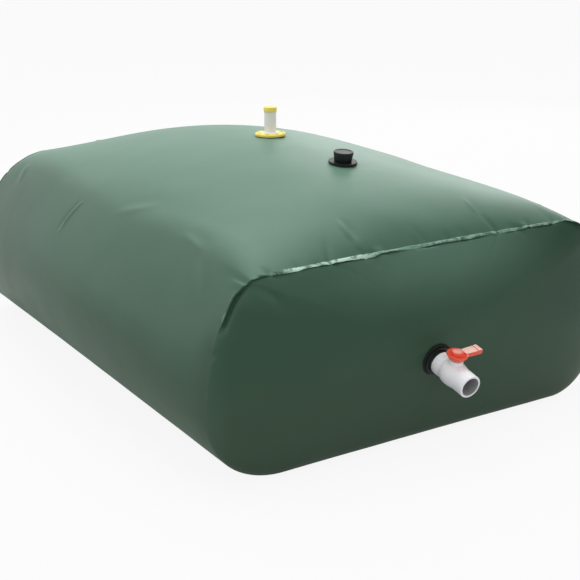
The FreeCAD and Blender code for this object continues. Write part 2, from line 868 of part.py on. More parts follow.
def valve_stem(stem):
    """Stem with a blade for the ball, a collar that holds it in, and a square drive."""
    body = new_body("valve_stem")
    corners = [("0", STEM_COLLAR), ("stem_collar_radius", STEM_COLLAR),
               ("stem_collar_radius", STEM_SHAFT), ("stem_radius", STEM_SHAFT)]
    corners += groove_corners(LOWER_RING) + groove_corners(UPPER_RING)
    corners += [("stem_radius", HUB_FOOT), ("0", HUB_FOOT)]
    turn_profile(body, "Revolution", "shaft", corners)
    blade = new_sketch(body, "blade", "XY_Plane")
    lift(blade, STEM_COLLAR + " + tang_root")
    draw_outline(blade, square_corners("tang_width / 2", "tang_length / 2"))
    slot_floor = "(ball_radius - tang_depth + tang_clearance)"
    extrude(body, "Pad", blade, STEM_COLLAR + " + tang_root - " + slot_floor, back=True)
    drive = new_sketch(body, "drive", "XY_Plane")
    lift(drive, HUB_FOOT + " - drive_root")
    draw_outline(drive, square_corners("drive_side / 2", "drive_side / 2"))
    extrude(body, "Pad", drive, "drive_height + drive_root")
    keep(body, "valve_stem", stem)


def square_corners(half_across, half_up):
    """Corners of a rectangle about the origin."""
    signs = (("-", "-"), ("", "-"), ("", ""), ("-", ""))
    return [("%s(%s)" % (a, half_across), "%s(%s)" % (b, half_up)) for a, b in signs]


def stem_rings(stem):
    """Two seals in the grooves of the stem."""
    below = ("ball_radius", "cavity_clearance", "collar_clearance", "stem_collar_height",
             "ring_start")
    first = sum(size(part) for part in below)
    levels = {"stem_oring_lower": first, "stem_oring_upper": first + size("ring_spacing")}
    for label, level in levels.items():
        ring = primitive("Torus", label + "_torus", Radius1="stem_radius - ring_section_radius",
                         Radius2="ring_section_radius - ring_clearance")
        keep(ring, label, stem.multiply(Placement(Z_AXIS * level, Rotation())))


def valve_handle(stem):
    """Round hub with a rising lever, a raised centre bar and a grooved tab."""
    body = new_body("valve_handle")
    turn_profile(body, "Revolution", "hub", [
        ("0", HUB_FOOT),
        ("hub_radius - chamfer", HUB_FOOT),
        ("hub_radius", HUB_FOOT + " + bevel"),
        ("hub_radius", HUB_FOOT + " + hub_height - hub_bevel"),
        ("hub_radius - hub_bevel", HUB_FOOT + " + hub_height"),
        ("0", HUB_FOOT + " + hub_height"),
    ])
    under = HUB_FOOT + " + hub_height - lever_thickness"
    climb = "lever_reach * tan(lever_rise * 1deg)"
    lever = new_sketch(body, "lever", "XZ_Plane")
    draw_outline(lever, [
        ("0", under),
        ("lever_reach", under + " + " + climb),
        ("lever_reach", under + " + lever_thickness + " + climb),
        ("0", under + " + lever_thickness"),
    ])
    extrude(body, "Pad", lever, "lever_width", both=True)
    bar = new_sketch(body, "bar", "XZ_Plane")
    top = HUB_FOOT + " + hub_height"
    span = "(lever_reach - 2 * lever_groove_inset)"
    level = top + " + " + span + " * tan(lever_rise * 1deg)"
    draw_outline(bar, [
        ("-lever_bar_width / 2", top + " - chamfer"),
        (span, level + " - chamfer"),
        (span + " - lever_bar_slope", level + " + lever_bar_height"),
        ("-lever_bar_width / 2 + lever_bar_slope", top + " + lever_bar_height"),
    ])
    extrude(body, "Pad", bar, "lever_bar_width", both=True)
    groove = new_sketch(body, "groove", "XZ_Plane")
    near = "lever_reach - lever_groove_inset"
    level = top + " + (" + near + ") * tan(lever_rise * 1deg)"
    draw_outline(groove, [
        (near, level + " - lever_groove_depth"),
        (near + " + lever_groove_width", level + " - lever_groove_depth"),
        (near + " + lever_groove_width", level + " + cut_margin"),
        (near, level + " + cut_margin"),
    ])
    extrude(body, "Pocket", groove, "lever_width + 2 * cut_margin", both=True)
    socket = new_sketch(body, "socket", "XY_Plane")
    lift(socket, HUB_FOOT)
    half = "drive_side / 2 + drive_clearance"
    draw_outline(socket, square_corners(half, half))
    extrude(body, "Pocket", socket, "drive_height + drive_clearance", back=True)
    keep(body, "valve_handle", stem)


# Fill port

FILL_FLANGE_FOOT = "fill_gasket_thickness"
FILL_FLANGE_TOP = FILL_FLANGE_FOOT + " + fill_flange_thickness"
NECK_TOP = FILL_FLANGE_TOP + " + fill_neck_height"
CAP_FOOT = FILL_FLANGE_TOP + " + cap_skirt_gap"
LINER_FOOT = NECK_TOP + " + liner_gap"
CAP_CEILING = LINER_FOOT + " + liner_thickness + liner_gap"
CAP_TOP = CAP_CEILING + " + cap_top_thickness"


def fill_neck(frame):
    turned_part("fill_neck", [
        ("fill_bore", "-patch_thickness - fill_spigot_drop"),
        ("fill_spigot_radius", "-patch_thickness - fill_spigot_drop"),
        ("fill_spigot_radius", FILL_FLANGE_FOOT),
        ("fill_flange_radius", FILL_FLANGE_FOOT),
        ("fill_flange_radius", FILL_FLANGE_TOP + " - chamfer"),
        ("fill_flange_radius - chamfer", FILL_FLANGE_TOP),
        ("fill_neck_radius", FILL_FLANGE_TOP),
        ("fill_neck_radius", NECK_TOP + " - chamfer"),
        ("fill_neck_radius - chamfer", NECK_TOP),
        ("fill_bore", NECK_TOP),
    ], frame)
    ring_part("fill_gasket", "fill_spigot_radius + wall_hole_clearance",
              "fill_flange_radius - seal_inset", "0", "fill_gasket_thickness", frame)


def fill_nut(frame):
    """Ring nut inside the tank, with lugs for a spanner."""
    body = new_body("fill_nut")
    low = "-patch_thickness - fill_nut_height"
    turn_profile(body, "Revolution", "outline", [
        ("fill_spigot_radius + nut_bore_clearance", low),
        ("fill_nut_radius - fill_nut_taper", low),
        ("fill_nut_radius", low + " + fill_nut_height / 2"),
        ("fill_nut_radius", "-patch_thickness"),
        ("fill_spigot_radius + nut_bore_clearance", "-patch_thickness"),
    ])
    lug = new_sketch(body, "lug", "XY_Plane")
    lift(lug, low)
    draw_outline(lug, [
        ("fill_nut_radius - fill_nut_taper - lug_root", "-fill_nut_lug_width / 2"),
        ("fill_nut_radius", "-fill_nut_lug_width / 2"),
        ("fill_nut_radius", "fill_nut_lug_width / 2"),
        ("fill_nut_radius - fill_nut_taper - lug_root", "fill_nut_lug_width / 2"),
    ])
    repeat(body, extrude(body, "Pad", lug, "fill_nut_height - chamfer"), "fill_nut_lug_count")
    keep(body, "fill_nut", frame)


def fill_cap(frame):
    """Screw cap, wider at its top, with grip ribs round its side."""
    body = new_body("fill_cap")
    inside = "fill_neck_radius + cap_clearance"
    turn_profile(body, "Revolution", "outline", [
        ("0", CAP_CEILING),
        (inside, CAP_CEILING),
        (inside, CAP_FOOT),
        ("cap_foot_radius", CAP_FOOT),
        ("cap_top_radius", CAP_TOP + " - bevel"),
        ("cap_top_radius - bevel", CAP_TOP),
        ("cap_top_radius - cap_rim_width", CAP_TOP),
        ("cap_top_radius - cap_rim_width - chamfer", CAP_TOP + " - cap_dish"),
        ("0", CAP_TOP + " - cap_dish"),
    ])
    flute = new_sketch(body, "flute", "XY_Plane")
    lift(flute, CAP_FOOT)
    draw_outline(flute, [
        ("cap_foot_radius - cap_rib_sink", "-cap_rib_root / 2"),
        ("cap_top_radius + cap_rib_depth", "-cap_rib_tip / 2"),
        ("cap_top_radius + cap_rib_depth", "cap_rib_tip / 2"),
        ("cap_foot_radius - cap_rib_sink", "cap_rib_root / 2"),
    ])
    height = CAP_TOP + " - (" + CAP_FOOT + ") - bevel"
    repeat(body, extrude(body, "Pad", flute, height), "cap_rib_count")
    keep(body, "fill_cap", frame)
    turned_part("fill_cap_liner", [
        ("0", LINER_FOOT),
        ("fill_neck_radius - liner_inset", LINER_FOOT),
        ("fill_neck_radius - liner_inset", LINER_FOOT + " + liner_thickness"),
        ("0", LINER_FOOT + " + liner_thickness"),
    ], frame)


# Vent

RING_FOOT = "vent_gasket_thickness"
DISC_TOP = RING_FOOT + " + tube_disc_thickness"
RING_TOP = RING_FOOT + " + vent_ring_height"
BOLT_SEAT = RING_TOP + " - bolt_recess_depth"
BACKING_FOOT = "-patch_thickness - backing_ring_thickness"


def drill_ring(body, name, low, high, radius):
    """Holes on the bolt circle, from one level up to another."""
    sketch = new_sketch(body, name, "XY_Plane")
    lift(sketch, low)
    draw_circle(sketch, radius, "vent_bolt_circle")
    holes = extrude(body, "Pocket", sketch, high + " - (" + low + ")", back=True)
    repeat(body, holes, "vent_bolt_count")


def vent_ring(frame):
    """Clamp ring over the disc of the vent pipe, with sunk bolt heads."""
    body = new_body("vent_flange")
    turn_profile(body, "Revolution", "outline", [
        ("tube_disc_radius + disc_clearance", RING_FOOT),
        ("vent_ring_radius", RING_FOOT),
        ("vent_ring_radius", RING_TOP + " - bevel"),
        ("vent_ring_radius - bevel", RING_TOP),
        ("vent_ring_bore + chamfer", RING_TOP),
        ("vent_ring_bore", RING_TOP + " - chamfer"),
        ("vent_ring_bore", DISC_TOP),
        ("tube_disc_radius + disc_clearance", DISC_TOP),
    ])
    drill_ring(body, "hole", "0", RING_TOP, "vent_bolt_radius + bolt_hole_clearance")
    drill_ring(body, "recess", BOLT_SEAT, RING_TOP + " + cut_margin",
               "bolt_head_radius + bolt_recess_clearance")
    keep(body, "vent_flange", frame)


def drilled_ring(label, inner, outer, low, high, frame):
    body = new_body(label)
    turn_profile(body, "Revolution", "outline",
                 [(inner, low), (outer, low), (outer, high), (inner, high)])
    drill_ring(body, "hole", low + " - cut_margin", high + " + cut_margin",
               "vent_bolt_radius + bolt_hole_clearance")
    keep(body, label, frame)


def vent_clamp(frame):
    hole = "tube_radius + wall_hole_clearance"
    drilled_ring("vent_gasket", hole, "vent_ring_radius - seal_inset", "0", RING_FOOT, frame)
    drilled_ring("vent_backing_ring", hole, "vent_ring_radius - seal_inset",
                 BACKING_FOOT, "-patch_thickness", frame)


def bolt_group(frame):
    """The vent's bolts and, as a second group, their nuts inside the tank."""
    seat = size("vent_gasket_thickness") + size("vent_ring_height") - size("bolt_recess_depth")
    under = -size("patch_thickness") - size("backing_ring_thickness")
    radius = size("vent_bolt_radius")
    wide = size("bolt_head_radius")
    top = seat + size("bolt_head_height")
    head = Part.makeCylinder(wide, top - seat, Z_AXIS * seat)
    across = size("bolt_slot_width")
    floor = Vector(-wide, -across / 2, top - size("bolt_slot_depth"))
    slot = Part.makeBox(2 * wide, across, 2 * size("bolt_slot_depth"), floor)
    tail = under - size("nut_height") - size("bolt_end")
    shank = Part.makeCylinder(radius, seat - tail, Z_AXIS * tail)
    bolt = head.fuse(shank).cut(slot).removeSplitter()
    corner = size("nut_flat_radius") / math.cos(math.pi / 6)
    ring = [Vector(corner * math.cos(k * math.pi / 3), corner * math.sin(k * math.pi / 3),
                   under - size("nut_height")) for k in range(7)]
    nut = Part.Face(Part.makePolygon(ring)).extrude(Z_AXIS * size("nut_height"))
    hole = radius + size("thread_gap")
    nut = nut.cut(Part.makeCylinder(hole, 4 * size("nut_height"), Z_AXIS * tail))
    for label, piece in (("vent_bolts", bolt), ("vent_nuts", nut)):
        copies = []
        for across, along in bolt_places():
            copy = piece.copy()
            copy.translate(Vector(across, along, 0))
            copies.append(copy)
        group = Part.makeCompound(copies)
        item = document.addObject("Part::Feature", label + "_shape")
        item.Shape = group
        keep(item, label, frame)


TUBE_TOP = RING_FOOT + " + tube_height"
VENT_CAP_BORE = "tube_radius + vent_cap_clearance"
VENT_CAP_TOP = TUBE_TOP + " + joint_gap + vent_cap_top"


def vent_tube(frame):
    """Clear pipe with a clamped disc, a short flare and a plain top."""
    turned_part("vent_tube", [
        ("tube_bore", "-patch_thickness - tube_drop"),
        ("tube_radius", "-patch_thickness - tube_drop"),
        ("tube_radius", RING_FOOT),
        ("tube_disc_radius", RING_FOOT),
        ("tube_disc_radius", DISC_TOP),
        ("tube_flare_radius", DISC_TOP),
        ("tube_flare_radius - tube_flare_step", DISC_TOP + " + tube_flare_height / 2"),
        ("tube_radius + tube_flare_step", DISC_TOP + " + tube_flare_height * 3 / 4"),
        ("tube_radius", DISC_TOP + " + tube_flare_height"),
        ("tube_radius", TUBE_TOP),
        ("tube_bore", TUBE_TOP),
    ], frame)


def vent_cap(frame):
    foot = VENT_CAP_TOP + " - vent_cap_height"
    outer = VENT_CAP_BORE + " + vent_cap_wall"
    turned_part("vent_cap", [
        (VENT_CAP_BORE, foot),
        (outer, foot),
        (outer, VENT_CAP_TOP + " - chamfer"),
        (outer + " - chamfer", VENT_CAP_TOP),
        ("0", VENT_CAP_TOP),
        ("0", VENT_CAP_TOP + " - vent_cap_top"),
        (VENT_CAP_BORE, VENT_CAP_TOP + " - vent_cap_top"),
    ], frame)


# Assembly

skin = lofted_skin(0)
fill = crown_frame(skin, size("fill_setback"))
vent = crown_frame(skin, size("vent_setback"))
outlet = outlet_frame()
stem = outlet.multiply(Placement(Z_AXIS * ball_place(), Rotation(X_AXIS, -90)))

feature("tank_wrap", wrap_shape(skin, fill, vent))
outlet_hole = size("spigot_radius") + size("wall_hole_clearance")
feature("front_end_panel", end_panel_shape(-1, outlet, outlet_hole))
feature("rear_end_panel", end_panel_shape(1, rear_frame(), 0))
feature("front_seam_lip", lip_shape(-1))
feature("rear_seam_lip", lip_shape(1))

outlet_spigot(outlet)
outlet_seals(outlet)
outlet_locknut(outlet)
valve_body(outlet)
valve_end_socket(outlet)
seat_ring("seat_ring_inner", outlet, 1)
seat_ring("seat_ring_outer", outlet, -1)
valve_ball(stem)
valve_stem(stem)
stem_rings(stem)
valve_handle(stem)

fill_neck(fill)
fill_nut(fill)
fill_cap(fill)

vent_ring(vent)
vent_clamp(vent)
bolt_group(vent)
vent_tube(vent)
vent_cap(vent)

document.recompute()

for item in document.Objects:
    if "Invalid" in item.State or "Error" in item.State:
        raise RuntimeError("%s did not compute: %s" % (item.Name, item.State))

os.makedirs("parts", exist_ok=True)
for item in sub_parts:
    shape = item.Shape
    if shape.isNull() or not shape.isValid():
        raise RuntimeError("%s has no valid shape" % item.Label)
for item in sub_parts:
    item.Shape.exportStep(os.path.join("parts", item.Label + ".step"))
    print("%-22s %3d solids %9.1f cm3" % (
        item.Label, len(item.Shape.Solids), item.Shape.Volume / 1000))
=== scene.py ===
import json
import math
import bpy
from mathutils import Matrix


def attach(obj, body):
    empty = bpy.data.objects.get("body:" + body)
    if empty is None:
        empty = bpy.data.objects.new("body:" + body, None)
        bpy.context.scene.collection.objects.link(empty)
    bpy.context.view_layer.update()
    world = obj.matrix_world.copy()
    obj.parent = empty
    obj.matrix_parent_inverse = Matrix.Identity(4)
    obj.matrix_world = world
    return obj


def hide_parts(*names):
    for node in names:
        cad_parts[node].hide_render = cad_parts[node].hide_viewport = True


bl_info = {
    "name": "Collapsible Water Tank",
    "version": (1, 0, 0),
    "blender": (4, 5, 0),
    "location": "View3D > Sidebar > Water Tank",
    "description": "Builds a full pillow tank of coated fabric with its valve, fill port and vent",
    "category": "Add Mesh",
}

import bmesh
import bpy
import numpy as np
from bpy.props import FloatProperty, FloatVectorProperty, IntProperty, PointerProperty
from mathutils import Matrix, Vector, noise

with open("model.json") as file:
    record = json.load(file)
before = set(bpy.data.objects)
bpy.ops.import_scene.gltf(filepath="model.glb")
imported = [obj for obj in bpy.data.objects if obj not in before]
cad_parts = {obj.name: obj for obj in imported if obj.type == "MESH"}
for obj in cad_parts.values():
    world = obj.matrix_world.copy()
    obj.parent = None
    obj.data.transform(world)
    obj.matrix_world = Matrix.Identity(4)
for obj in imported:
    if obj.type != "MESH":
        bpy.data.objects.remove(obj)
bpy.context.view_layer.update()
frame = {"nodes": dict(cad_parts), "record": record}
MM = 0.001

# Width and focal length of the photograph, in pixels
PHOTO_WIDTH = 580
PHOTO_FOCAL = 1189


# Settings

def length(name, description, default, low=0.0, high=3.0):
    return FloatProperty(name=name, description=description, default=default, min=low,
                         max=high, subtype="DISTANCE", unit="LENGTH")


def turn(name, description, degrees):
    return FloatProperty(name=name, description=description, default=math.radians(degrees),
                         subtype="ANGLE", unit="ROTATION")


def number(name, description, default, low=0.0, high=100.0):
    return FloatProperty(name=name, description=description, default=default, min=low, max=high)


def colour(name, description, default):
    return FloatVectorProperty(name=name, description=description, default=default,
                               subtype="COLOR", size=3, min=0.0, max=1.0)


class EnvelopeSizes(bpy.types.PropertyGroup):
    seam_place: length("Seam place", "Distance of each end seam from the middle", 0.648)
    tank_width: length("Width", "Width over the long sides at the middle", 1.130)
    end_width: length("End width", "Width over the long sides at an end seam", 1.050)
    crown_height: length("Crown height", "Height of the crown at the middle", 0.541)
    shoulder_height: length("Shoulder height", "Height that the crown aims at over a seam", 0.470)
    front_seam_height: length("Front seam height", "Height of the front seam", 0.420)
    rear_seam_height: length("Rear seam height", "Height of the rear seam", 0.440)
    side_radius: length("Side radius", "Lower side radius at the middle", 0.218)
    end_side_radius: length("End side radius", "Lower side radius at a seam", 0.145)
    side_angle: turn("Side angle", "Angle of the side arc at the middle", 52)
    end_side_angle: turn("End side angle", "Angle of the side arc at a seam", 28)
    corner_radius: length("Corner radius", "Shoulder radius at the middle", 0.340)
    front_corner: length("Front corner", "Shoulder radius at the front seam", 0.085)
    rear_corner: length("Rear corner", "Shoulder radius at the rear seam", 0.190)
    crown_angle: turn("Crown angle", "Half angle of the crown arc at the middle", 26.5)
    end_crown_angle: turn("End crown angle", "Half angle of the crown arc at a seam", 0.6)
    end_fade: number("End fade", "How late the section changes towards a seam", 2.0)
    shoulder_fade: number("Shoulder fade", "How late the crown falls to a seam", 6.0)
    dish_depth: length("Dish depth", "How far an end panel bulges", 0.052)
    around: IntProperty(name="Steps around", description="Mesh steps round the section",
                        default=600, min=48, max=960)


class SeamLook(bpy.types.PropertyGroup):
    gather: length("Gather", "Most that a gather moves the fabric", 0.0030)
    lip_reach: length("Lip reach", "Reach of the weld lip past the seam", 0.0065)
    lip_thickness: length("Lip thickness", "Thickness of the weld lip", 0.0019)
    lip_end: length("Lip end", "Height at which the weld lip runs out", 0.328)
    rear_share: number("Rear share", "Size of the rear lip against the front one", 0.40, 0.0, 1.0)


class FabricLook(bpy.types.PropertyGroup):
    face: colour("Fabric", "Coated face of the fabric", (0.018, 0.068, 0.034))
    wear_and_highlight: colour("Scuffed fabric", "Fabric where it is rubbed pale", (0.026, 0.081, 0.044))
    # Painted sheen: a pale colour that stands in for the fabric's gloss where it faces up
    painted_sheen: colour("Painted fabric sheen", "Fabric that faces the sky", (0.118, 0.226, 0.166))
    dusty: colour("Dusty fabric", "Film of dust low on the sides", (0.042, 0.064, 0.038))
    # Painted shade: a darker colour put where less light falls
    deep: colour("Deep fabric", "Painted shade on the fabric", (0.008, 0.036, 0.017))
    # Weld colour: the weld's own paler edge, lightened as a painted highlight
    weld: colour("Weld", "Pressed edge of the weld", (0.110, 0.230, 0.160))
    # Painted glint on the weld lip
    painted_glint: colour("Painted weld glint", "Ragged pale patches on the weld", (0.44, 0.60, 0.51))


class FittingLook(bpy.types.PropertyGroup):
    white: colour("White plastic", "Ball valve", (0.89, 0.89, 0.915))
    red: colour("Red plastic", "Lever of the valve", (0.82, 0.085, 0.038))
    # Painted highlight on top of the lever's tab and hub
    painted_gloss: colour("Painted plastic highlight", "Sun-bleached top of the lever's tab", (0.95, 0.66, 0.58))
    black: colour("Black plastic", "Locknut and fill port", (0.007, 0.011, 0.009))
    yellow: colour("Yellow plastic", "Flange and cap of the vent", (0.86, 0.72, 0.13))
    pipe: colour("Clear pipe", "Milky pipe of the vent", (0.94, 0.94, 0.89))
    bore: colour("Bore", "Shaded inside of the valve's outlet", (0.34, 0.34, 0.35))
    seat: colour("Seat", "Seats of the valve's ball", (0.85, 0.85, 0.83))
    chrome: colour("Chrome", "Ball of the valve", (0.75, 0.75, 0.76))
    steel: colour("Steel", "Bolts and nuts of the vent", (0.32, 0.30, 0.20))


class StageLook(bpy.types.PropertyGroup):
    floor: colour("Floor", "Pale floor", (0.62, 0.62, 0.615))
    sky: number("Sky", "Brightness of the room from the sides", 0.68)
    zenith: number("Zenith", "Brightness of the room from above", 0.95)
    front: number("Front", "Brightness that the gloss shows in front of the tank", 0.06)
    ceiling: number("Ceiling", "Share of the backdrop's brightness that the ceiling has", 0.52)
    top: number("Top lamp", "Power of the lamp above, in watts", 60.0, 0.0, 500.0)
    back: number("Back lamp", "Power of the lamp behind, in watts", 20.0, 0.0, 500.0)
    left: number("Left lamp", "Power of the lamp at the left, in watts", 6.0, 0.0, 500.0)
    focal: number("Focal length", "Focal length in frame widths", PHOTO_FOCAL / PHOTO_WIDTH)
    pitch: turn("Pitch", "Camera tilt below the horizon", 17.68)
    heading: turn("Heading", "Camera heading from +Y to +X", 32.37)


# Shader maths

class Value:
    """A shader socket that can be used in sums and products."""

    def __init__(self, graph, socket):
        self.graph = graph
        self.socket = socket

    def maths(self, operation, *others):
        """Math node on this value and others."""
        return self.graph.node("ShaderNodeMath", {"operation": operation}, self, *others)

    def __add__(self, other):
        return self.maths("ADD", other)

    __radd__ = __add__

    def __mul__(self, other):
        return self.maths("MULTIPLY", other)

    __rmul__ = __mul__

    def __rsub__(self, other):
        return self.graph.node("ShaderNodeMath", {"operation": "SUBTRACT"}, other, self)

    def between(self, low, high, first=0.0, last=1.0):
        """Smooth step from first at low to last at high."""
        settings = {"interpolation_type": "SMOOTHSTEP"}
        return self.graph.node("ShaderNodeMapRange", settings, self, low, high, first, last)


class Graph:
    """Node tree of a material or of the world."""

    def __init__(self, tree):
        self.nodes = tree.nodes
        self.links = tree.links

    def feed(self, socket, value):
        """Link a value to a socket, or set the socket to a number, a vector or a colour."""
        if isinstance(value, Value):
            self.links.new(value.socket, socket)
        elif socket.type == "RGBA":
            socket.default_value = (*value, 1.0)
        else:
            socket.default_value = value

    def node(self, kind, settings, *inputs, output=0, **named):
        """A node with its settings, its sockets in order or by name, and one of its outputs."""
        made = self.nodes.new(kind)
        for key, value in settings.items():
            setattr(made, key, value)
        for socket, value in zip(made.inputs, inputs):
            if value is not None:
                self.feed(socket, value)
        for key, value in named.items():
            self.feed(made.inputs[key.replace("_", " ")], value)
        return Value(self, made.outputs[output])

    def part(self, vector, index):
        """X, Y or Z of a vector."""
        return self.node("ShaderNodeSeparateXYZ", {}, vector, output=index)

    def ray(self, kind):
        """1 for rays of a kind, such as those of the camera, and 0 for others."""
        return self.node("ShaderNodeLightPath", {}, output=f"Is {kind} Ray")

    def looked_at(self):
        """1 where the camera looks, also through something clear, and 0 for other rays."""
        return self.ray("Camera").maths("MAXIMUM", self.ray("Transmission"))


class Shader(Graph):
    """Node tree of one material, round its Principled shader."""

    def __init__(self, name, **constants):
        self.material = bpy.data.materials.new(name)
        self.material.use_nodes = True
        super().__init__(self.material.node_tree)
        self.shader = self.nodes["Principled BSDF"]
        self.finish(**constants)

    def finish(self, **sockets):
        """Feed the Principled shader and hand back the material."""
        for key, value in sockets.items():
            self.feed(self.shader.inputs[key.replace("_", " ")], value)
        return self.material

    def place(self):
        """Place in the tank's frame, in metres."""
        return self.node("ShaderNodeTexCoord", {}, output="Object")

    def axis(self, index):
        """Place along X, Y or Z, in metres."""
        return self.part(self.place(), index)

    def facing_up(self):
        """How far the surface faces the sky, from -1 to 1."""
        return self.part(self.node("ShaderNodeNewGeometry", {}, output="Normal"), 2)

    def away_from(self, port_frame):
        """Distance from the axis of a port."""
        kind = "ShaderNodeVectorMath"
        offset = self.node(kind, {"operation": "SUBTRACT"}, self.place(),
                           tuple(port_frame.translation))
        across = self.node(kind, {"operation": "CROSS_PRODUCT"}, offset,
                           tuple(port_frame.to_3x3().col[2]))
        return self.node(kind, {"operation": "LENGTH"}, across, output="Value")

    def stretched(self, scale, vector=None):
        """Place, or other coordinates, with a scale of its own along each axis."""
        return self.node("ShaderNodeMapping", {}, vector or self.place(), Scale=scale)

    def noise(self, scale, detail, roughness, vector=None):
        """Cloudy pattern from 0 to 1, over the place unless other coordinates are given."""
        return self.node("ShaderNodeTexNoise", {}, Vector=vector or self.place(), Scale=scale,
                         Detail=detail, Roughness=roughness)

    def threads(self, vector, direction):
        """Bands of the fabric's threads across one direction."""
        settings = {"wave_type": "BANDS", "bands_direction": direction}
        return self.node("ShaderNodeTexWave", settings, Vector=vector, Scale=THREAD_SCALE)

    def mix(self, factor, first, second):
        """Blend of two colours, for which the node has its last two sockets."""
        return self.node("ShaderNodeMix", {"data_type": "RGBA"}, factor, *[None] * 5, first,
                         second, output=2)

    def bump(self, height, strength, distance, under=None):
        """Relief, on top of another one where it is given."""
        more = {"Normal": under} if under else {}
        return self.node("ShaderNodeBump", {}, Strength=strength, Distance=distance,
                         Height=height, **more)


# Materials

THREAD_SCALE = 140.0
SATIN = {"Specular_IOR_Level": 0.42, "IOR": 1.5, "Sheen_Weight": 0.16, "Sheen_Roughness": 0.35,
         "Sheen_Tint": (0.55, 1.0, 0.76)}

# Second colour that each plastic drifts to
MOULDED_WHITE = (0.84, 0.84, 0.865)
AGED_WHITE = (0.78, 0.78, 0.79)
AGED_SEAT = (0.80, 0.80, 0.78)
DULL_BLACK = (0.014, 0.018, 0.016)
OCHRE = (0.80, 0.62, 0.09)


def painted_light_shares(graph):
    """Shares of painted sheen and of painted shade on the fabric, by the place on the tank and by
    facing the sky.
    """
    across, ahead, height = graph.axis(0), graph.axis(1), graph.axis(2)
    up = graph.facing_up()
    front = 1.0 - ahead.between(-0.654, -0.646)
    low = 1.0 - height.between(0.29, 0.36)
    by_seam = (1.0 - ahead.between(-0.62, -0.45)) * across.between(0.02, 0.22)
    # Painted sheen where the fabric faces up, weaker near the right half of the front seam, and
    # painted highlight in a band on the front's upper middle and at its low left corner
    painted_sheen_share = up.between(0.05, 0.40) * 0.25 + up.between(0.82, 1.0) * 0.65
    band = front * across.between(-0.32, 0.04) * (1.0 - across.between(0.20, 0.42))
    corner = low * front * (1.0 - across.between(-0.525, -0.475))
    pale = painted_sheen_share * (1.0 - 0.4 * by_seam) + 0.36 * band * height.between(0.27, 0.40)
    # Painted shade on the front's right half, far back on the left side, and low where the left
    # side turns to the front
    right = front * across.between(0.10, 0.42) * height.between(0.12, 0.25)
    far_left = (1.0 - across.between(-0.50, -0.38)) * ahead.between(-0.10, 0.60)
    turning = low * (1.0 - across.between(-0.48, -0.42)) * (1.0 - front)
    turning = turning * (1.0 - ahead.between(-0.648, -0.58))
    return pale + 0.08 * corner, 0.5 * right + 0.60 * far_left + 0.45 * turning


def fabric_material(look):
    """Satin coated fabric: rubbed in patches, dusty low down, with painted sheen and painted shade
    by place, faintly woven.
    """
    graph = Shader("coated_fabric", **SATIN)
    along = graph.node("ShaderNodeUVMap", {"uv_map": "fabric"})
    broad = graph.noise(2.2, 3.0, 0.55)
    cloudy = graph.noise(9.0, 4.0, 0.6)
    scuffs = graph.noise(1.0, 5.0, 0.65, graph.stretched((14.0, 60.0, 1.0), along))
    tone = broad.between(0.3, 0.7) * 0.35 + cloudy.between(0.35, 0.75) * 0.25
    rubbed = graph.mix(tone + scuffs.between(0.62, 0.8) * 0.25, look.face, look.wear_and_highlight)
    low = 1.0 - graph.axis(2).between(0.02, 0.30)
    aged = graph.mix(low * (0.25 + 0.5 * cloudy), rubbed, look.dusty)
    pale, deep = painted_light_shares(graph)
    # Painted sheen mixed into the fabric's colour
    painted_gloss = graph.mix(pale * (0.85 + 0.3 * cloudy), aged, look.painted_sheen)
    # Painted shade mixed into the fabric's colour
    base = graph.mix(deep, painted_gloss, look.deep)
    weave = graph.threads(along, "X") * graph.threads(along, "Y")
    waves = graph.bump(graph.noise(26.0, 2.0, 0.5), 0.25, 0.0010)
    cloth = graph.bump(weave, 0.10, 0.0002, waves)
    skin = graph.bump(graph.noise(900.0, 2.0, 0.6), 0.15, 0.0001, cloth)
    rough = 0.36 + 0.10 * cloudy + 0.05 * scuffs
    return graph.finish(Base_Color=base, Roughness=rough, Normal=skin)


def weld_material(look):
    """Pressed edge of the weld: ragged pale patches of painted glint on top, and painted shade
    where it turns under.
    """
    graph = Shader("weld_edge", **SATIN)
    across = graph.axis(0)
    patches = graph.noise(55.0, 4.0, 0.6)
    broken = graph.noise(14.0, 2.0, 0.5)
    # Spans along X that carry the painted glint and the painted weld highlight
    rubbed = across.between(-0.360, -0.325) * (1.0 - 0.8 * across.between(-0.22, -0.08))
    weld_highlight_span = across.between(-0.37, -0.32) * (1.0 - 0.75 * across.between(-0.06, 0.08))
    plain = graph.mix(weld_highlight_span + 0.7 * patches.between(0.50, 0.60), look.face, look.weld)
    pale = graph.mix(patches.between(0.42, 0.54) * broken.between(0.20, 0.42) * rubbed,
                     plain, look.painted_glint)
    # Painted shade: the lip's downward faces keep the dark fabric colour
    base = graph.mix(graph.facing_up().between(-0.15, 0.30), look.face, pale)
    return graph.finish(Base_Color=base, Roughness=0.34 + 0.2 * patches,
                        Normal=graph.bump(patches, 0.3, 0.0006))


def plastic_material(name, shade, darker, rough, bore=None):
    """Moulded plastic with slight colour drift, flow marks and a fine grain."""
    graph = Shader(name, IOR=1.49)
    drift = graph.noise(60.0, 3.0, 0.55)
    fine = graph.noise(1400.0, 2.0, 0.5)
    marks = graph.noise(180.0, 3.0, 0.6, graph.stretched((1.0, 1.0, 4.0)))
    base = graph.mix(drift.between(0.35, 0.75) * 0.5, shade, darker)
    # Painted shade inside the bore of the valve's outlet
    if bore is not None:
        base = graph.mix(graph.away_from(OUTLET).between(0.0201, 0.0212), bore, base)
    skin = graph.bump(fine, 0.12, 0.0001, graph.bump(marks, 0.08, 0.0003))
    return graph.finish(Base_Color=base, Roughness=rough + 0.12 * marks, Normal=skin)


def dimmed(shade):
    """A slightly darker colour."""
    return tuple(0.8 * channel for channel in shade)


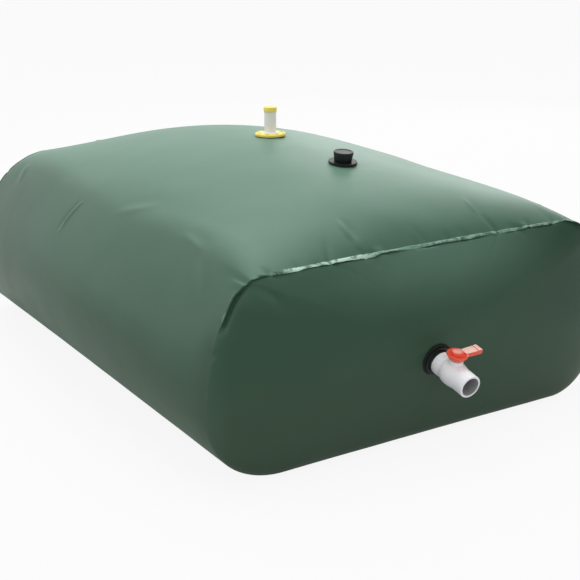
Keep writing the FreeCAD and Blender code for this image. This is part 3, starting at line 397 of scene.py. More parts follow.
def lever_material(look):
    """Glossy moulded plastic, with a painted highlight on top of the tab and the hub."""
    graph = Shader("red_lever", IOR=1.49, Coat_Weight=0.4, Coat_Roughness=0.12)
    cloudy = graph.noise(160.0, 3.0, 0.5)
    # Where the painted highlight lies: the tab's outer part and the hub's knob, where they face up
    tab = graph.axis(0).between(0.012, 0.020)
    knob = 1.0 - graph.away_from(STEM).between(0.0112, 0.0134)
    wear_and_highlight = (tab + 0.5 * knob) * (0.75 + 0.3 * cloudy)
    top_highlight = graph.facing_up().between(0.70, 0.95) * wear_and_highlight
    base = graph.mix(cloudy.between(0.4, 0.8) * 0.4, look.red, dimmed(look.red))
    fine = graph.noise(1400.0, 2.0, 0.5)
    return graph.finish(Base_Color=graph.mix(top_highlight, base, look.painted_gloss),
                        Roughness=0.24 + 0.1 * cloudy, Normal=graph.bump(fine, 0.08, 0.0001))


def clear_pipe_material(shade):
    """Milky clear pipe."""
    graph = Shader("milky_pipe", IOR=1.45, Transmission_Weight=0.15, Coat_Weight=0.3)
    streaks = graph.noise(1.0, 3.0, 0.5, graph.stretched((90.0, 90.0, 6.0)))
    base = graph.mix(streaks * 0.5, shade, (0.93, 0.93, 0.90))
    return graph.finish(Base_Color=base, Roughness=0.22 + 0.15 * streaks,
                        Normal=graph.bump(streaks, 0.1, 0.0004))


def metal_material(name, shade, rough):
    """Metal with a fine brushed grain."""
    graph = Shader(name, Metallic=1.0)
    brush = graph.noise(1.0, 3.0, 0.5, graph.stretched((600.0, 600.0, 60.0)))
    return graph.finish(Base_Color=graph.mix(brush * 0.5, shade, dimmed(shade)),
                        Roughness=rough + 0.15 * brush, Normal=graph.bump(brush, 0.1, 0.0001))


def rubber_material():
    """Matt sealing rubber with a little dust."""
    graph = Shader("seal_rubber", IOR=1.5)
    dust = graph.noise(160.0, 4.0, 0.6)
    base = graph.mix(dust.between(0.45, 0.8) * 0.4, (0.018, 0.018, 0.018), (0.06, 0.06, 0.057))
    return graph.finish(Base_Color=base, Roughness=0.7 + 0.15 * dust,
                        Normal=graph.bump(dust, 0.2, 0.0002))


# Mesh helpers

def meshed(bm, name):
    """Turn a bmesh into a mesh and free it."""
    mesh = bpy.data.meshes.new(name)
    bm.to_mesh(mesh)
    bm.free()
    return mesh


def linked(bm, name):
    """Turn a bmesh into an object of the scene."""
    item = bpy.data.objects.new(name, meshed(bm, name))
    bpy.context.scene.collection.objects.link(item)
    return item


def keep(bm, name, material, body, node, smooth):
    """Turn a bmesh into a finished piece that rides on a body and replaces a CAD node."""
    bmesh.ops.recalc_face_normals(bm, faces=bm.faces)
    piece = linked(bm, name)
    piece.data.materials.append(material)
    piece.data.shade_smooth()
    if smooth < 180:
        piece.data.set_sharp_from_angle(angle=math.radians(smooth))
    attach(piece, body)
    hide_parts(node)


def turned(outline, steps=96):
    """Closed outline of radius and height pairs in millimetres, spun round the Z axis."""
    bm = bmesh.new()
    points = [bm.verts.new((radius * MM, 0.0, height * MM)) for radius, height in outline]
    edges = [bm.edges.new((a, b)) for a, b in zip(points, points[1:] + points[:1])
             if a.co.x > 0 or b.co.x > 0]
    bmesh.ops.spin(bm, geom=points + edges, cent=(0, 0, 0), axis=(0, 0, 1),
                   angle=math.tau, steps=steps, use_merge=True, use_duplicate=False)
    bmesh.ops.remove_doubles(bm, verts=bm.verts, dist=1e-7)
    bmesh.ops.recalc_face_normals(bm, faces=bm.faces)
    return bm


def flowing(points, steps=4):
    """Points of a smooth curve through a few radius and height pairs."""
    run = []
    ends = [points[0]] + list(points) + [points[-1]]
    for a, b, c, d in zip(ends, ends[1:], ends[2:], ends[3:]):
        for k in range(steps):
            t = k / steps
            run.append(tuple(
                0.5 * (2 * q + (r - p) * t + (2 * p - 5 * q + 4 * r - s) * t ** 2
                       + (3 * q - p - 3 * r + s) * t ** 3)
                for p, q, r, s in zip(a, b, c, d)))
    return run + [tuple(points[-1])]


def soften(bm, width, segments=2, angle=30.0):
    """Round every edge that is sharper than an angle."""
    limit = math.radians(angle)
    edges = [edge for edge in bm.edges
             if len(edge.link_faces) == 2 and edge.calc_face_angle(0.0) > limit]
    bmesh.ops.bevel(bm, geom=edges, offset=width * MM, offset_type="OFFSET", affect="EDGES",
                    segments=segments, profile=0.5, material=-1, clamp_overlap=True)
    return bm


def slab(outline, low, high):
    """Flat outline in millimetres, raised from one height to another."""
    bm = bmesh.new()
    face = bm.faces.new([bm.verts.new((x * MM, y * MM, low * MM)) for x, y in outline])
    made = bmesh.ops.extrude_face_region(bm, geom=[face])
    lifted = [item for item in made["geom"] if isinstance(item, bmesh.types.BMVert)]
    bmesh.ops.translate(bm, verts=lifted, vec=(0, 0, (high - low) * MM))
    bmesh.ops.recalc_face_normals(bm, faces=bm.faces)
    return bm


def moved(bm, matrix):
    """Move a whole bmesh."""
    bmesh.ops.transform(bm, matrix=matrix, verts=bm.verts)
    return bm


def add(bm, other):
    """Append one bmesh to another and free it."""
    mesh = meshed(other, "part")
    bm.from_mesh(mesh)
    bpy.data.meshes.remove(mesh)
    return bm


def spread(bm, make, count):
    """Repeat a small shape round the Z axis."""
    for i in range(count):
        add(bm, moved(make(), Matrix.Rotation(math.tau * i / count, 4, "Z")))
    return bm


def port(place, lean):
    """Port frame: Z out of the tank, turned about X by an angle in degrees."""
    return Matrix.Translation(place) @ Matrix.Rotation(math.radians(lean), 4, "X")


OUTLET = port((0.0, -0.700, 0.181), 103.0)
FILL = port((0.033, -0.298099, 0.526011), 6.2904)
VENT = port((0.033, 0.020006, 0.541248), -0.3877)

# Distance of the ball from the outlet's seat in millimetres, and the stem's frame there
BALL = 55.3
UPRIGHT = Matrix.Translation((0, 0, BALL * MM)) @ Matrix.Rotation(-math.pi / 2, 4, "X")
STEM = OUTLET @ UPRIGHT


def carved(bm, other, operation):
    """Join another solid to a solid, or cut it out of it."""
    items = [linked(shape, "carving") for shape in (bm, other)]
    modifier = items[0].modifiers.new("carve", "BOOLEAN")
    modifier.operation = operation
    modifier.solver = "EXACT"
    modifier.object = items[1]
    made = bmesh.new()
    made.from_object(items[0], bpy.context.evaluated_depsgraph_get())
    for item in items:
        mesh = item.data
        bpy.data.objects.remove(item)
        bpy.data.meshes.remove(mesh)
    return made


def rod(radius, low, high):
    """Plain round rod along Z, as a tool to cut with."""
    bm = bmesh.new()
    bmesh.ops.create_cone(bm, cap_ends=True, segments=64, radius1=radius * MM,
                          radius2=radius * MM, depth=(high - low) * MM)
    bmesh.ops.translate(bm, verts=bm.verts, vec=(0, 0, (low + high) / 2 * MM))
    return bm


def valve_housing():
    """Inlet socket and ball housing: a waisted round body with a boss for the stem."""
    outside = flowing([(25.2, 13.3), (25.6, 16.0), (25.7, 24.0), (25.0, 31.0), (24.9, 36.0),
                       (26.6, 42.0), (28.0, 48.5), (28.3, 55.3), (27.9, 62.0), (27.0, 68.0),
                       (26.3, 72.35)])
    inside = [(22.4, 72.35), (22.4, 37.6), (14.5, 37.6), (14.5, 33.4), (20.0, 33.4), (20.0, 13.3)]
    bm = turned(outside + inside, 128)
    boss = turned([(9.0, 24.0), (15.5, 24.0), (15.5, 32.6), (14.7, 33.4), (9.0, 33.4)], 72)
    bm = carved(bm, moved(boss, UPRIGHT), "UNION")
    bm = carved(bm, moved(rod(8.1, 15.0, 40.0), UPRIGHT), "DIFFERENCE")
    return carved(bm, moved(rod(10.4, 10.0, 25.4), UPRIGHT), "DIFFERENCE")


def valve_mouth():
    """Outlet socket that carries the body's line on to its thick rim."""
    outside = flowing([(26.25, 72.45), (25.7, 77.0), (25.3, 84.0), (25.2, 95.0), (25.3, 106.0),
                       (25.2, 110.2), (24.4, 111.6), (23.2, 112.0)])
    inside = [(21.2, 112.0), (20.3, 111.3), (20.0, 110.0), (20.0, 82.0), (14.5, 82.0),
              (14.5, 73.0), (22.0, 72.9), (22.2, 72.45)]
    return turned(outside + inside, 128)


def lever():
    """Bowl-shaped hub with a domed knob and a thick tab, grooved near its end."""
    bm = turned([(0, 34.1), (14.2, 34.1), (15.6, 34.7), (18.4, 37.6), (21.0, 41.6), (22.6, 44.8),
                 (23.0, 46.0), (22.8, 46.9), (22.0, 47.4), (20.6, 47.4), (19.4, 46.9),
                 (18.0, 46.0), (14.2, 46.0), (13.9, 48.0), (13.2, 50.6), (11.4, 52.6),
                 (7.0, 54.0), (0, 54.4)], 96)
    side = [(15, 39.4), (24, 39.6), (40, 40.2), (56, 41.0), (59, 42.0), (60, 43.8), (60, 48.4),
            (59.2, 50.2), (57, 51.2), (48.4, 50.8), (47.6, 49.4), (46.4, 49.3), (45.6, 50.5),
            (30, 49.7), (20, 49.2), (15, 49.0)]
    # The tab widens slightly outwards and is rounded at its tip
    half_width, flare, flare_from = 10.2, 0.035, 20.0
    round_from, tip, tip_loss = 57.0, 60.0, 0.20
    tab = slab(side, -half_width, half_width)
    moved(tab, Matrix.Rotation(math.pi / 2, 4, "X"))
    for vert in tab.verts:
        x = vert.co.x / MM
        half = half_width + flare * (x - flare_from)
        half *= 1 - tip_loss * max(0.0, (x - round_from) / (tip - round_from)) ** 2
        vert.co.y *= half / half_width
    return add(bm, soften(tab, 1.1, 3, 40))


def pipe_cap():
    """Push-on cap of the vent pipe."""
    return turned([(15.15, 60.4), (15.9, 60.4), (16.35, 60.8), (16.35, 71.2), (16.0, 71.9),
                   (15.3, 72.2), (0, 72.2), (0, 69.75), (15.15, 69.75)], 96)


GRIPS = 24


def screw_cap():
    """Ribbed cap of the fill port, narrower at its foot."""
    bm = turned([(0, 25.3), (18.7, 25.3), (18.7, 6.5), (19.7, 6.5), (22.7, 26.9), (22.5, 27.7),
                 (21.9, 28.3), (18.6, 28.3), (18.0, 27.6), (0, 27.5)], 120)
    foot, top, lean = 6.6, 27.0, 3.0

    def rib():
        made = slab([(19.0, -0.7), (20.3, -0.4), (20.3, 0.4), (19.0, 0.7)], foot, top)
        for vert in made.verts:
            if vert.co.z > (foot + top) / 2 * MM:
                vert.co.x += lean * MM
        return soften(made, 0.2)

    return spread(bm, rib, GRIPS)


def locknut():
    """Two-step nut with low grips round both steps."""
    bm = turned([(20.3, 2.0), (31.8, 2.0), (32.4, 2.6), (32.4, 6.3), (31.8, 6.9), (28.4, 7.0),
                 (27.9, 7.4), (27.6, 12.2), (27.0, 13.0), (20.3, 13.0)], 144)
    for radius, low, high in ((32.4, 2.4, 6.5), (27.6, 7.2, 12.6)):
        inner, outer = radius - 1.0, radius + 0.8
        grip = [(inner, -1.3), (outer, -0.9), (outer, 0.9), (inner, 1.3)]
        spread(bm, lambda: soften(slab(grip, low, high), 0.3), GRIPS)
    return bm


# Envelope

def section(place, steps):
    """Cross-section at a place along the tank: X and Z at even steps, and its length round."""
    sizes = bpy.context.scene.tank_envelope
    share = abs(place) / sizes.seam_place
    fade = share ** sizes.end_fade

    def at(middle, end):
        return middle + (end - middle) * fade

    seam_height = sizes.front_seam_height if place < 0 else sizes.rear_seam_height
    half = at(sizes.tank_width, sizes.end_width) / 2
    height = at(sizes.crown_height, sizes.shoulder_height)
    height += (seam_height - sizes.shoulder_height) * share ** sizes.shoulder_fade
    low = at(sizes.side_radius, sizes.end_side_radius)
    corner = at(sizes.corner_radius, sizes.front_corner if place < 0 else sizes.rear_corner)
    steep = at(sizes.side_angle, sizes.end_side_angle)
    level = math.pi / 2 - at(sizes.crown_angle, sizes.end_crown_angle)
    side_run, side_climb = math.cos(steep), math.sin(steep)
    crown_run, crown_climb = math.cos(level), math.sin(level)
    width_left = half - corner * (side_run - crown_run)
    rise_left = height - low + corner * (side_climb - crown_climb)
    balance = (1 - side_run) * (1 - crown_climb) - crown_run * side_climb
    side = (width_left * (1 - crown_climb) - crown_run * rise_left) / balance
    crown = ((1 - side_run) * rise_left - side_climb * width_left) / balance
    shoulder = (half - side + (side - corner) * side_run, low + (side - corner) * side_climb)
    flat = half - low
    arcs = ((flat, low, low, -math.pi / 2, 0.0), (half - side, low, side, 0.0, steep),
            (*shoulder, corner, steep, level), (0.0, height - crown, crown, level, math.pi / 2))
    ends = np.cumsum([flat] + [radius * (stop - start) for _, _, radius, start, stop in arcs])
    walk = np.linspace(0, ends[-1], steps // 2 + 1)
    x, z = walk.copy(), np.zeros_like(walk)
    for begin, (centre_x, centre_z, radius, start, _) in zip(ends, arcs):
        angle = start + (walk - begin) / radius
        x = np.where(walk >= begin, centre_x + radius * np.cos(angle), x)
        z = np.where(walk >= begin, centre_z + radius * np.sin(angle), z)
    x[-1] = 0.0
    return np.concatenate([x, -x[-2:0:-1]]), np.concatenate([z, z[-2:0:-1]]), 2 * ends[-1]


# Widths of the wrap's rows, their growth away from a seam, and the place of a sharp crease
FINEST_ROW = 0.0045
COARSEST_ROW = 0.0105
ROW_GROWTH = 0.05
SHARP_CREASE = 0.075


def wrap_rows(seam):
    """Places along Y, close together at the seams and where the sharp crease crosses."""
    rows = [-seam]
    while rows[-1] < seam:
        near = min(abs(rows[-1] - place) for place in (-seam, seam, SHARP_CREASE))
        rows.append(rows[-1] + min(COARSEST_ROW, FINEST_ROW + ROW_GROWTH * near))
    rows = np.array(rows)
    return -seam + (rows + seam) * 2 * seam / (rows[-1] + seam)


def ring(place):
    """Closed ring of points round the wrap at a place along the tank, and its length."""
    x, z, total = section(place, bpy.context.scene.tank_envelope.around)
    return np.stack([x, np.full_like(x, place), z], axis=1), total


def ramp(values, low, high):
    """Straight step from 0 at low to 1 at high."""
    return np.clip((values - low) / (high - low), 0, 1)


def unit(vectors):
    """Vectors of length 1 with the same directions."""
    return vectors / np.maximum(np.linalg.norm(vectors, axis=-1, keepdims=True), 1e-12)


def along_ring(points, axis=0):
    """Run from each point's neighbour on one side to that on the other, round a ring."""
    return np.roll(points, -1, axis=axis) - np.roll(points, 1, axis=axis)


# Radius of the hole for the outlet, and of a middle that is closed
OUTLET_HOLE = 0.0204
CLOSED = 0.0005

# Number of rings over a panel, how much closer they lie at its seam, and the rim of its seat
PANEL_RINGS = 60
RING_SPREAD = 1.7
SEAT_BLEND = 0.045


def panel_points(side, rim, rim_frame):
    """Rings of points over an end panel, from its seam in to the edge of its seat."""
    sizes = bpy.context.scene.tank_envelope
    seam, total = ring(side * sizes.seam_place)
    middle = np.array([0.0, side * sizes.seam_place, OUTLET.translation.z])
    run = along_ring(seam)
    level = np.abs(run[:, 0]) / np.linalg.norm(run, axis=1)
    upright = 1 - level ** 2
    under = run[:, 0] > 0
    # Full above the underside, rounder at the sides, and leaning back from the crown
    power = 2.5 * upright + np.where(under, 8.0, 3.0) * level ** 2
    root = np.where(under, 0.5, 0.5 * upright + 0.8 * level ** 2)
    away = seam - middle
    reach = np.linalg.norm(away, axis=1)
    inner = rim / reach
    tip = 0.0
    if rim_frame is not None:
        facing = rim_frame.to_3x3().col[2]
        tip = -facing.z / facing.y
    rings = []
    for j in range(PANEL_RINGS):
        share = 1 - (1 - inner) * (j / (PANEL_RINGS - 1)) ** RING_SPREAD
        bulge = sizes.dish_depth * np.maximum(1 - share ** power, 0) ** root
        fade = np.exp((inner - share) * reach / SEAT_BLEND)
        points = middle + away * share[:, None]
        points[:, 1] += side * bulge + tip * away[:, 2] * share * fade * (j > 0)
        rings.append(points)
    return np.array(rings), total


# Folds of the fabric, as heights along its outward normal

# Seeds of the gathers at each seam
FRONT_FOLDS = 3
REAR_FOLDS = 8

# Both ends, the width and the height of each single crease
CREASES = (
    ((-0.520, 0.070, 0.357), (-0.450, 0.080, 0.424), 0.0052, 0.0027),
    ((-0.448, -0.085, 0.424), (-0.380, -0.190, 0.456), 0.013, 0.0009),
    ((-0.414, -0.360, 0.438), (-0.428, -0.475, 0.424), 0.010, 0.0011),
    ((-0.150, -0.545, 0.470), (-0.160, -0.605, 0.441), 0.0060, 0.0025),
    ((0.200, -0.532, 0.470), (0.184, -0.590, 0.450), 0.0060, 0.0018),
    ((-0.470, -0.560, 0.375), (-0.430, -0.470, 0.428), 0.011, 0.0013),
    ((0.455, -0.500, 0.390), (0.400, -0.560, 0.420), 0.010, 0.0030),
    ((0.512, -0.090, 0.367), (0.450, -0.110, 0.424), 0.009, 0.0026),
    ((0.430, 0.200, 0.438), (0.380, 0.290, 0.455), 0.013, 0.0012),
    ((0.150, 0.545, 0.480), (0.162, 0.612, 0.455), 0.0065, 0.0030),
    ((-0.205, 0.550, 0.478), (-0.190, 0.606, 0.458), 0.006, 0.0026),
    ((-0.455, 0.505, 0.395), (-0.405, 0.565, 0.420), 0.010, 0.0030),
    ((-0.138, -0.640, 0.426), (-0.128, -0.672, 0.392), 0.009, -0.0032),
    ((0.262, -0.640, 0.424), (0.272, -0.668, 0.397), 0.008, -0.0030),
    ((-0.402, -0.646, 0.400), (-0.360, -0.676, 0.345), 0.010, -0.0015),
)


# A crease's hollow: how far beside the ridge, how wide and how deep against the ridge
HOLLOW_PLACE = 2.1
HOLLOW_WIDTH = 1.6
HOLLOW_DEPTH = 0.55
CREASE_TAPER = 0.7
SURFACE_REACH = 0.02


def crease_heights(points, normal):
    """Single creases that run between two places: a ridge with a hollow beside it."""
    field = np.zeros(points.shape[:-1])
    for start, end, width, height in CREASES:
        start, end = np.array(start), np.array(end)
        run = end - start
        span = np.linalg.norm(run)
        along = np.clip((points - start) @ run / span ** 2, 0, 1)
        away = points - start - along[..., None] * run
        off = np.clip((away * normal).sum(axis=-1), -SURFACE_REACH, SURFACE_REACH)
        away -= normal * off[..., None]
        hollow = away - np.cross(normal, run / span) * (HOLLOW_PLACE * width)
        ridge = np.exp(-(away ** 2).sum(axis=-1) / width ** 2)
        beside = np.exp(-(hollow ** 2).sum(axis=-1) / (HOLLOW_WIDTH * width) ** 2)
        shape = np.sin(math.pi * along) ** CREASE_TAPER
        field += height * shape * (ridge - HOLLOW_DEPTH * beside)
    return field


def gathers(seed, total):
    """Gathers that start at a seam: place along it, width, reach, slant and depth of each."""
    rng = np.random.default_rng(seed)
    folds = []
    place = 0.0
    while place < total:
        place += rng.uniform(0.018, 0.085)
        long = rng.random() < 0.25
        folds.append((place, rng.uniform(0.0045, 0.0085),
                      rng.uniform(0.06, 0.11) if long else rng.uniform(0.015, 0.035),
                      rng.uniform(-0.6, 0.6), rng.uniform(0.2, 1.0)))
    return folds


def gather_heights(walk, depth, total, folds):
    """Height of the gathers at each distance along and away from a seam, from -1 to 0."""
    field = np.zeros(np.broadcast(walk, depth).shape)
    for place, width, reach, slant, deep in folds:
        off = (walk - place - slant * depth + total / 2) % total - total / 2
        spreading = width * (1 + 0.8 * depth / reach)
        along = np.clip(1 - depth / reach, 0, 1) ** 1.4
        field = np.minimum(field, -deep * along * np.exp(-(off / spreading) ** 2))
    return field


def tuck_heights(points, depth):
    """Hollow just inside the seam: deep at the shoulders, slight and broken along the top."""
    across, height = points[..., 0], points[..., 2]
    out = np.abs(across)
    shoulder = ramp(out, 0.42, 0.45) * ramp(height, 0.315, 0.335)
    shoulder *= 1 - ramp(height, 0.405, 0.425)
    broken = np.clip(0.55 + 0.45 * np.sin(across * 57.0 + 0.9) + 0.30 * np.sin(across * 23.0), 0, 1)
    top = (1 - ramp(out, 0.40, 0.43)) * ramp(height, 0.36, 0.38) * broken
    return (-0.0085 * shoulder * np.exp(-((depth - 0.0075) / 0.0060) ** 2)
            - 0.0045 * top * np.exp(-((depth - 0.0055) / 0.0040) ** 2))


def rough_noise(points, scale, seed):
    """Smooth random heights at points, from -1 to 1."""
    shift = Vector((seed * 7.1, seed * 3.7, seed * 1.9))
    flat = points.reshape(-1, 3)
    values = [noise.noise(Vector(point) * scale + shift) for point in flat]
    return np.array(values).reshape(points.shape[:-1])


def outward(grid):
    """Unit normals of a grid of points whose rows are closed rings."""
    normal = unit(np.cross(along_ring(grid, 1), np.gradient(grid, axis=0)))
    centre = np.array([0.0, 0.0, OUTLET.translation.z])
    facing = ((grid - centre) * normal).sum(axis=2).mean()
    return normal if facing > 0 else -normal


def ring_mesh(grid, coordinates):
    """Bmesh of a grid whose rows are closed rings, with its fabric coordinates."""
    rows, columns = grid.shape[:2]
    bm = bmesh.new()
    bmesh.ops.create_grid(bm, x_segments=columns, y_segments=rows - 1, size=1.0)
    layer = bm.loops.layers.uv.new("fabric")
    order = {}
    for vert in bm.verts:
        i = int(round((vert.co.x + 1) / 2 * columns))
        j = int(round((vert.co.y + 1) / 2 * (rows - 1)))
        order[vert] = (j, i)
    for face in bm.faces:
        for loop in face.loops:
            loop[layer].uv = coordinates[order[loop.vert]]
    for vert, (j, i) in order.items():
        vert.co = grid[j, i % columns]
    bmesh.ops.remove_doubles(bm, verts=bm.verts, dist=1e-6)
    return bm


def pushed(grid, normal, height):
    """Grid of points moved along its normals, but never below the ground."""
    grid = grid + normal * height[..., None]
    grid[..., 2] = np.maximum(grid[..., 2], 0.0)
    return grid


def gathered(walk, depth, total, seed, grid):
    """Gathers of one seam on a grid of points, which fade out low on the tank."""
    upper = ramp(grid[..., 2], 0.14, 0.32)
    reach = bpy.context.scene.tank_seams.gather
    return gather_heights(walk, depth, total, gathers(seed, total)) * reach * upper


def wrap_surface():
    """Folded points of the wrap, the place of each row along Y and its length round."""
    sizes = bpy.context.scene.tank_envelope
    places = wrap_rows(sizes.seam_place)
    rings, around = zip(*(ring(place) for place in places))
    wrap = np.array(rings)
    total = around[0]
    walk = np.arange(sizes.around) / sizes.around * total
    normal = outward(wrap)
    height = gathered(walk, (places + sizes.seam_place)[:, None], total, FRONT_FOLDS, wrap)
    height += 0.6 * gathered(walk, (sizes.seam_place - places)[:, None], total, REAR_FOLDS, wrap)
    height += crease_heights(wrap, normal)
    swell = rough_noise(wrap, 3.2, 1) * 0.0024 + rough_noise(wrap, 8.5, 2) * 0.0011
    height += swell * ramp(wrap[..., 2], 0.0, 0.15)
    calm = 1.0
    for port_frame, clear in ((FILL, 0.050), (VENT, 0.055)):
        away = np.linalg.norm(wrap - np.array(port_frame.translation), axis=2)
        calm = np.minimum(calm, ramp(away, clear, clear + 0.06))
    return pushed(wrap, normal, height * calm), places, np.array(around)


def panel_surface(side, rim, rim_frame, seed, tucked, edge):
    """Folded points of an end panel, whose outer ring is the given edge of the wrap."""
    grid, total = panel_points(side, rim, rim_frame)
    steps = np.linalg.norm(np.diff(grid, axis=0), axis=2)
    depth = np.concatenate([np.zeros_like(steps[:1]), np.cumsum(steps, axis=0)])
    walk = np.arange(len(edge)) / len(edge) * total
    normal = outward(grid)
    height = gathered(walk, depth, total, seed, grid) + crease_heights(grid, normal)
    height += tuck_heights(grid, depth) * tucked
    swell = rough_noise(grid, 5.0, 4 + side) * 0.0018
    swell += rough_noise(grid, 11.0, 6 + side) * 0.0007
    near = np.linalg.norm(grid - grid[-1].mean(axis=0), axis=2)
    height += swell * ramp(near, 0.05, 0.15) * ramp(depth, 0.0, 0.05)
    grid = pushed(grid, normal, height)
    grid[0] = edge
    return grid


class TANK_OT_fabric(bpy.types.Operator):
    """Build the wrap and both end panels of coated fabric"""
    bl_idname = "tank.fabric"
    bl_label = "Fabric envelope"

    def execute(self, context):
        cloth = fabric_material(context.scene.tank_fabric)
        wrap, places, around = wrap_surface()
        columns = wrap.shape[1]
        uv = np.zeros((len(places), columns + 1, 2))
        uv[:, :, 0] = np.arange(columns + 1) / columns * around[:, None]
        uv[:, :, 1] = places[:, None]
        keep(ring_mesh(wrap, uv), "fabric_wrap", cloth, "tank", "tank_wrap", 180)
        for name, node, side, rim, rim_frame, seed, tucked, row in (
                ("front_panel_fabric", "front_end_panel", -1, OUTLET_HOLE, OUTLET, FRONT_FOLDS,
                 1.0, 0),
                ("rear_panel_fabric", "rear_end_panel", 1, CLOSED, None, REAR_FOLDS, 0.3, -1)):
            panel = panel_surface(side, rim, rim_frame, seed, tucked, wrap[row])
            closed = np.concatenate([panel, panel[:, :1]], axis=1)
            keep(ring_mesh(panel, closed[:, :, ::2]), name, cloth, "tank", node,
                 180)
        return {"FINISHED"}


# Reach, rise and share of the ripple at each corner of a weld lip's section, and the height
# over which the lip runs out
LIP_SECTION = ((-0.55, -0.2, 0.0), (-0.25, 0.45, 0.0), (0.3, 0.65, 0.35), (0.85, 0.75, 1.0),
               (1.0, 0.35, 1.0), (0.85, -0.1, 1.0), (0.2, -0.35, 0.2), (-0.4, -0.5, 0.0))
LIP_FADE = 0.045


def lip_rings(seam, behind, walk, seed, size):
    """Sections of a rippled weld lip, one at each of a seam's points."""
    look = bpy.context.scene.tank_seams
    past = unit(seam - behind)
    up = unit(np.cross(along_ring(seam), past))
    up[(up * (seam - seam.mean(axis=0))).sum(axis=1) < 0] *= -1
    thick = (0.5 + 0.5 * size) * look.lip_thickness

    def wander(place, pitch, layer):
        return noise.noise(Vector((place * pitch, seed, layer)))

    rings = []
    for c in np.flatnonzero(seam[:, 2] > look.lip_end):
        fade = min(1.0, (seam[c, 2] - look.lip_end) / LIP_FADE) ** 0.6
        ripple = wander(walk[c], 13.0, 0.0) * 0.0032 + wander(walk[c], 60.0, 4.0) * 0.0009
        reach = look.lip_reach * (1 + 1.1 * wander(walk[c], 11.0, 8.0))
        rings.append([seam[c] + past[c] * fade * size * reach * out
                      + up[c] * fade * (thick * rise + size * ripple * share)
                      for out, rise, share in LIP_SECTION])
    return np.array(rings)


class TANK_OT_weld_lips(bpy.types.Operator):
    """Build the rippled weld lips along both end seams"""
    bl_idname = "tank.weld_lips"
    bl_label = "Weld lips"

    def execute(self, context):
        look = context.scene.tank_seams
        weld = weld_material(context.scene.tank_fabric)
        wrap, _, around = wrap_surface()
        for name, node, row, behind, seed, size in (
                ("front_weld_lip", "front_seam_lip", 0, 3, 5, 1.0),
                ("rear_weld_lip", "rear_seam_lip", -1, -4, 9, look.rear_share)):
            walk = np.arange(wrap.shape[1]) / wrap.shape[1] * around[row]
            rings = lip_rings(wrap[row], wrap[behind], walk, seed, size)
            uv = np.zeros((len(rings), len(LIP_SECTION) + 1, 2))
            uv[:, :, 0] = walk[wrap[row, :, 2] > look.lip_end][:, None]
            uv[:, :, 1] = np.arange(len(LIP_SECTION) + 1) * look.lip_thickness
            bm = ring_mesh(rings, uv)
            bmesh.ops.holes_fill(bm, edges=[edge for edge in bm.edges if edge.is_boundary],
                                 sides=0)
            keep(bm, name, weld, "tank", node, 60)
        return {"FINISHED"}


class TANK_OT_valve(bpy.types.Operator):
    """Build the ball valve, its lever, its locknut and the caps of both ports"""
    bl_idname = "tank.valve"
    bl_label = "Ball valve and caps"

    def execute(self, context):
        look = context.scene.tank_fittings
        white = plastic_material("white_moulding", look.white, MOULDED_WHITE, 0.32, look.bore)
        black = plastic_material("black_locknut", look.black, DULL_BLACK, 0.34)
        yellow = plastic_material("yellow_cap", look.yellow, OCHRE, 0.36)
        red = lever_material(look)
        for make, place, name, material, body, slot, node, smooth in (
                (valve_housing, OUTLET, "ball_valve_housing", white, "tank", "white_pvc",
                 "valve_body", 40),
                (valve_mouth, OUTLET, "ball_valve_mouth", white, "tank", "white_pvc",
                 "valve_end_socket", 40),
                (lever, STEM, "ball_valve_lever", red, "valve_lever", "red_plastic",
                 "valve_handle", 40),
                (locknut, OUTLET, "ribbed_locknut", black, "tank", "black_plastic",
                 "outlet_locknut", 40),
                (screw_cap, FILL, "ribbed_fill_cap", black, "fill_cap", "black_plastic",
                 "fill_cap", 30),
                (pipe_cap, VENT, "vent_pipe_cap", yellow, "vent_cap", "yellow_plastic",
                 "vent_cap", 40)):
            keep(moved(make(), place), name, material, body, node, smooth)
        return {"FINISHED"}


class TANK_OT_fittings(bpy.types.Operator):
    """Give the other fittings their plastics, metals and rubbers"""
    bl_idname = "tank.fittings"
    bl_label = "Fittings"

    def execute(self, context):
        look = context.scene.tank_fittings
        slots = {
            "white_pvc": plastic_material("white_pvc", look.white, AGED_WHITE, 0.30),
            "black_plastic": plastic_material("black_nylon", look.black, DULL_BLACK, 0.36),
            "yellow_plastic": plastic_material("yellow_plastic", look.yellow, OCHRE, 0.36),
            "white_seat": plastic_material("white_seat", look.seat, AGED_SEAT, 0.45),
            "clear_pipe": clear_pipe_material(look.pipe),
            "chromed_ball": metal_material("chromed_ball", look.chrome, 0.08),
            "steel_fasteners": metal_material("steel", look.steel, 0.42),
            "seal_rubber": rubber_material(),
        }
        for part in frame["record"]["subparts"]:
            if part["material_slot"] in slots:
                mesh = frame["nodes"][part["node"]].data
                mesh.materials.clear()
                mesh.materials.append(slots[part["material_slot"]])
        return {"FINISHED"}


# Stage

CAMERA_PLACE = (-1.510, -2.506, 1.078)
SENSOR_WIDTH = 36.0
WHITE = (1.0, 1.0, 1.0)


def floor_material(shade):
    """Pale floor that the camera sees brighter than the light makes it."""
    graph = Shader("pale_floor", Roughness=0.9)
    speck = graph.noise(4.0, 3.0, 0.5)
    graph.finish(Base_Color=graph.mix(speck * 0.3, shade, (0.58, 0.58, 0.575)))
    glow = graph.node("ShaderNodeEmission", {}, Color=WHITE, Strength=1.0)
    seen = graph.looked_at().maths("MAXIMUM", graph.ray("Glossy") * 0.12)
    shown = graph.node("ShaderNodeMixShader", {}, seen * 0.90,
                       Value(graph, graph.shader.outputs[0]), glow)
    graph.feed(graph.nodes["Material Output"].inputs["Surface"], shown)
    return graph.material


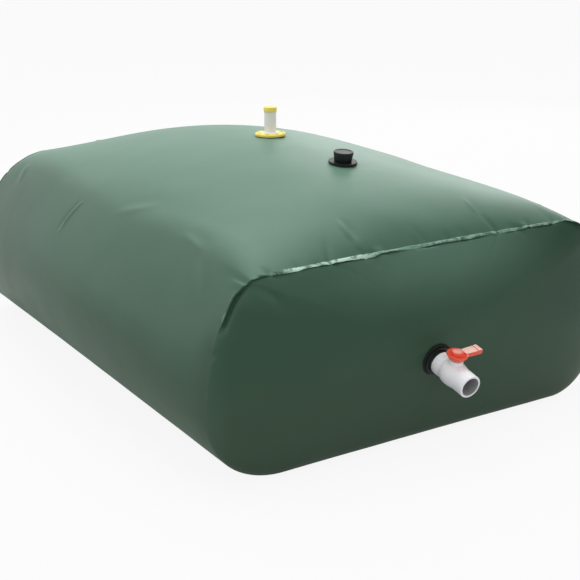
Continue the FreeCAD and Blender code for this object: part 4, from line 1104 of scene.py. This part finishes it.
def studio(look):
    """White room: even to the camera, brighter from above, and dim in front in the gloss."""
    world = bpy.data.worlds.new("studio")
    world.use_nodes = True
    graph = Graph(world.node_tree)
    direction = graph.node("ShaderNodeTexCoord", {}, output="Generated")
    ahead = graph.part(direction, 1).between(0.0, 0.55, look.front, 1.0)
    roof = graph.part(direction, 2).between(0.36, 0.80, 1.0, look.ceiling)
    above = graph.part(direction, 2).between(-0.05, 0.75, look.sky, look.zenith)
    lit = graph.node("ShaderNodeMix", {}, graph.ray("Glossy"), None, above, ahead * roof)
    strength = graph.node("ShaderNodeMix", {}, graph.looked_at(), None, lit, 1.0)
    background = graph.nodes["Background"]
    graph.feed(background.inputs["Color"], WHITE)
    graph.feed(background.inputs["Strength"], strength)
    return world


class TANK_OT_stage(bpy.types.Operator):
    """Build the pale floor, the lamps and the camera"""
    bl_idname = "tank.stage"
    bl_label = "Stage"

    def execute(self, context):
        look = context.scene.tank_stage
        scene = context.scene
        scene.view_settings.view_transform = "Standard"
        scene.world = studio(look)
        bm = bmesh.new()
        bmesh.ops.create_grid(bm, x_segments=1, y_segments=1, size=40.0)
        bmesh.ops.translate(bm, verts=bm.verts, vec=(0, 0, -0.0005))
        floor = linked(bm, "floor")
        floor.data.materials.append(floor_material(look.floor))

        for name, place, aim, size, power, in_gloss in (
                ("top_lamp", (0.1, 0.9, 3.2), (0.1, 0.4, 0.4), 3.0, look.top, False),
                ("back_lamp", (3.0, 2.6, 1.7), (0.1, -0.3, 0.4), 2.2, look.back, True),
                ("left_lamp", (-3.6, -0.8, 1.9), (0, 0, 0.3), 2.0, look.left, True)):
            lamp = bpy.data.lights.new(name, "AREA")
            lamp.size = size
            lamp.energy = power
            item = bpy.data.objects.new(name, lamp)
            item.location = place
            item.rotation_euler = (Vector(aim) - Vector(place)).to_track_quat("-Z", "Y").to_euler()
            item.visible_camera = False
            item.visible_glossy = in_gloss
            scene.collection.objects.link(item)

        data = bpy.data.cameras.new("camera")
        data.sensor_width = SENSOR_WIDTH
        data.lens = look.focal * SENSOR_WIDTH
        camera = bpy.data.objects.new("camera", data)
        camera.location = CAMERA_PLACE
        camera.rotation_euler = (math.pi / 2 - look.pitch, 0.0, -look.heading)
        scene.collection.objects.link(camera)
        scene.camera = camera
        return {"FINISHED"}


class TANK_PT_panel(bpy.types.Panel):
    """Shows the tank's settings and the buttons that build its pieces in the sidebar"""
    bl_idname = "TANK_PT_panel"
    bl_label = "Water Tank"
    bl_space_type = "VIEW_3D"
    bl_region_type = "UI"
    bl_category = "Water Tank"

    def draw(self, context):
        for group in GROUPS:
            box = self.layout.box()
            settings = getattr(context.scene, group)
            for key in settings.__annotations__:
                box.prop(settings, key)
        for operator in OPERATORS:
            self.layout.operator(operator.bl_idname)


GROUPS = {"tank_envelope": EnvelopeSizes, "tank_seams": SeamLook, "tank_fabric": FabricLook,
          "tank_fittings": FittingLook, "tank_stage": StageLook}
OPERATORS = (TANK_OT_stage, TANK_OT_fabric, TANK_OT_weld_lips, TANK_OT_valve,
             TANK_OT_fittings)


def register():
    for name, group in GROUPS.items():
        bpy.utils.register_class(group)
        setattr(bpy.types.Scene, name, PointerProperty(type=group))
    for item in OPERATORS + (TANK_PT_panel,):
        bpy.utils.register_class(item)


def unregister():
    for item in (TANK_PT_panel,) + OPERATORS[::-1]:
        bpy.utils.unregister_class(item)
    for name, group in GROUPS.items():
        delattr(bpy.types.Scene, name)
        bpy.utils.unregister_class(group)


def main():
    register()
    bpy.ops.tank.stage()
    bpy.ops.tank.fabric()
    bpy.ops.tank.weld_lips()
    bpy.ops.tank.valve()
    bpy.ops.tank.fittings()


if __name__ == "__main__":
    main()
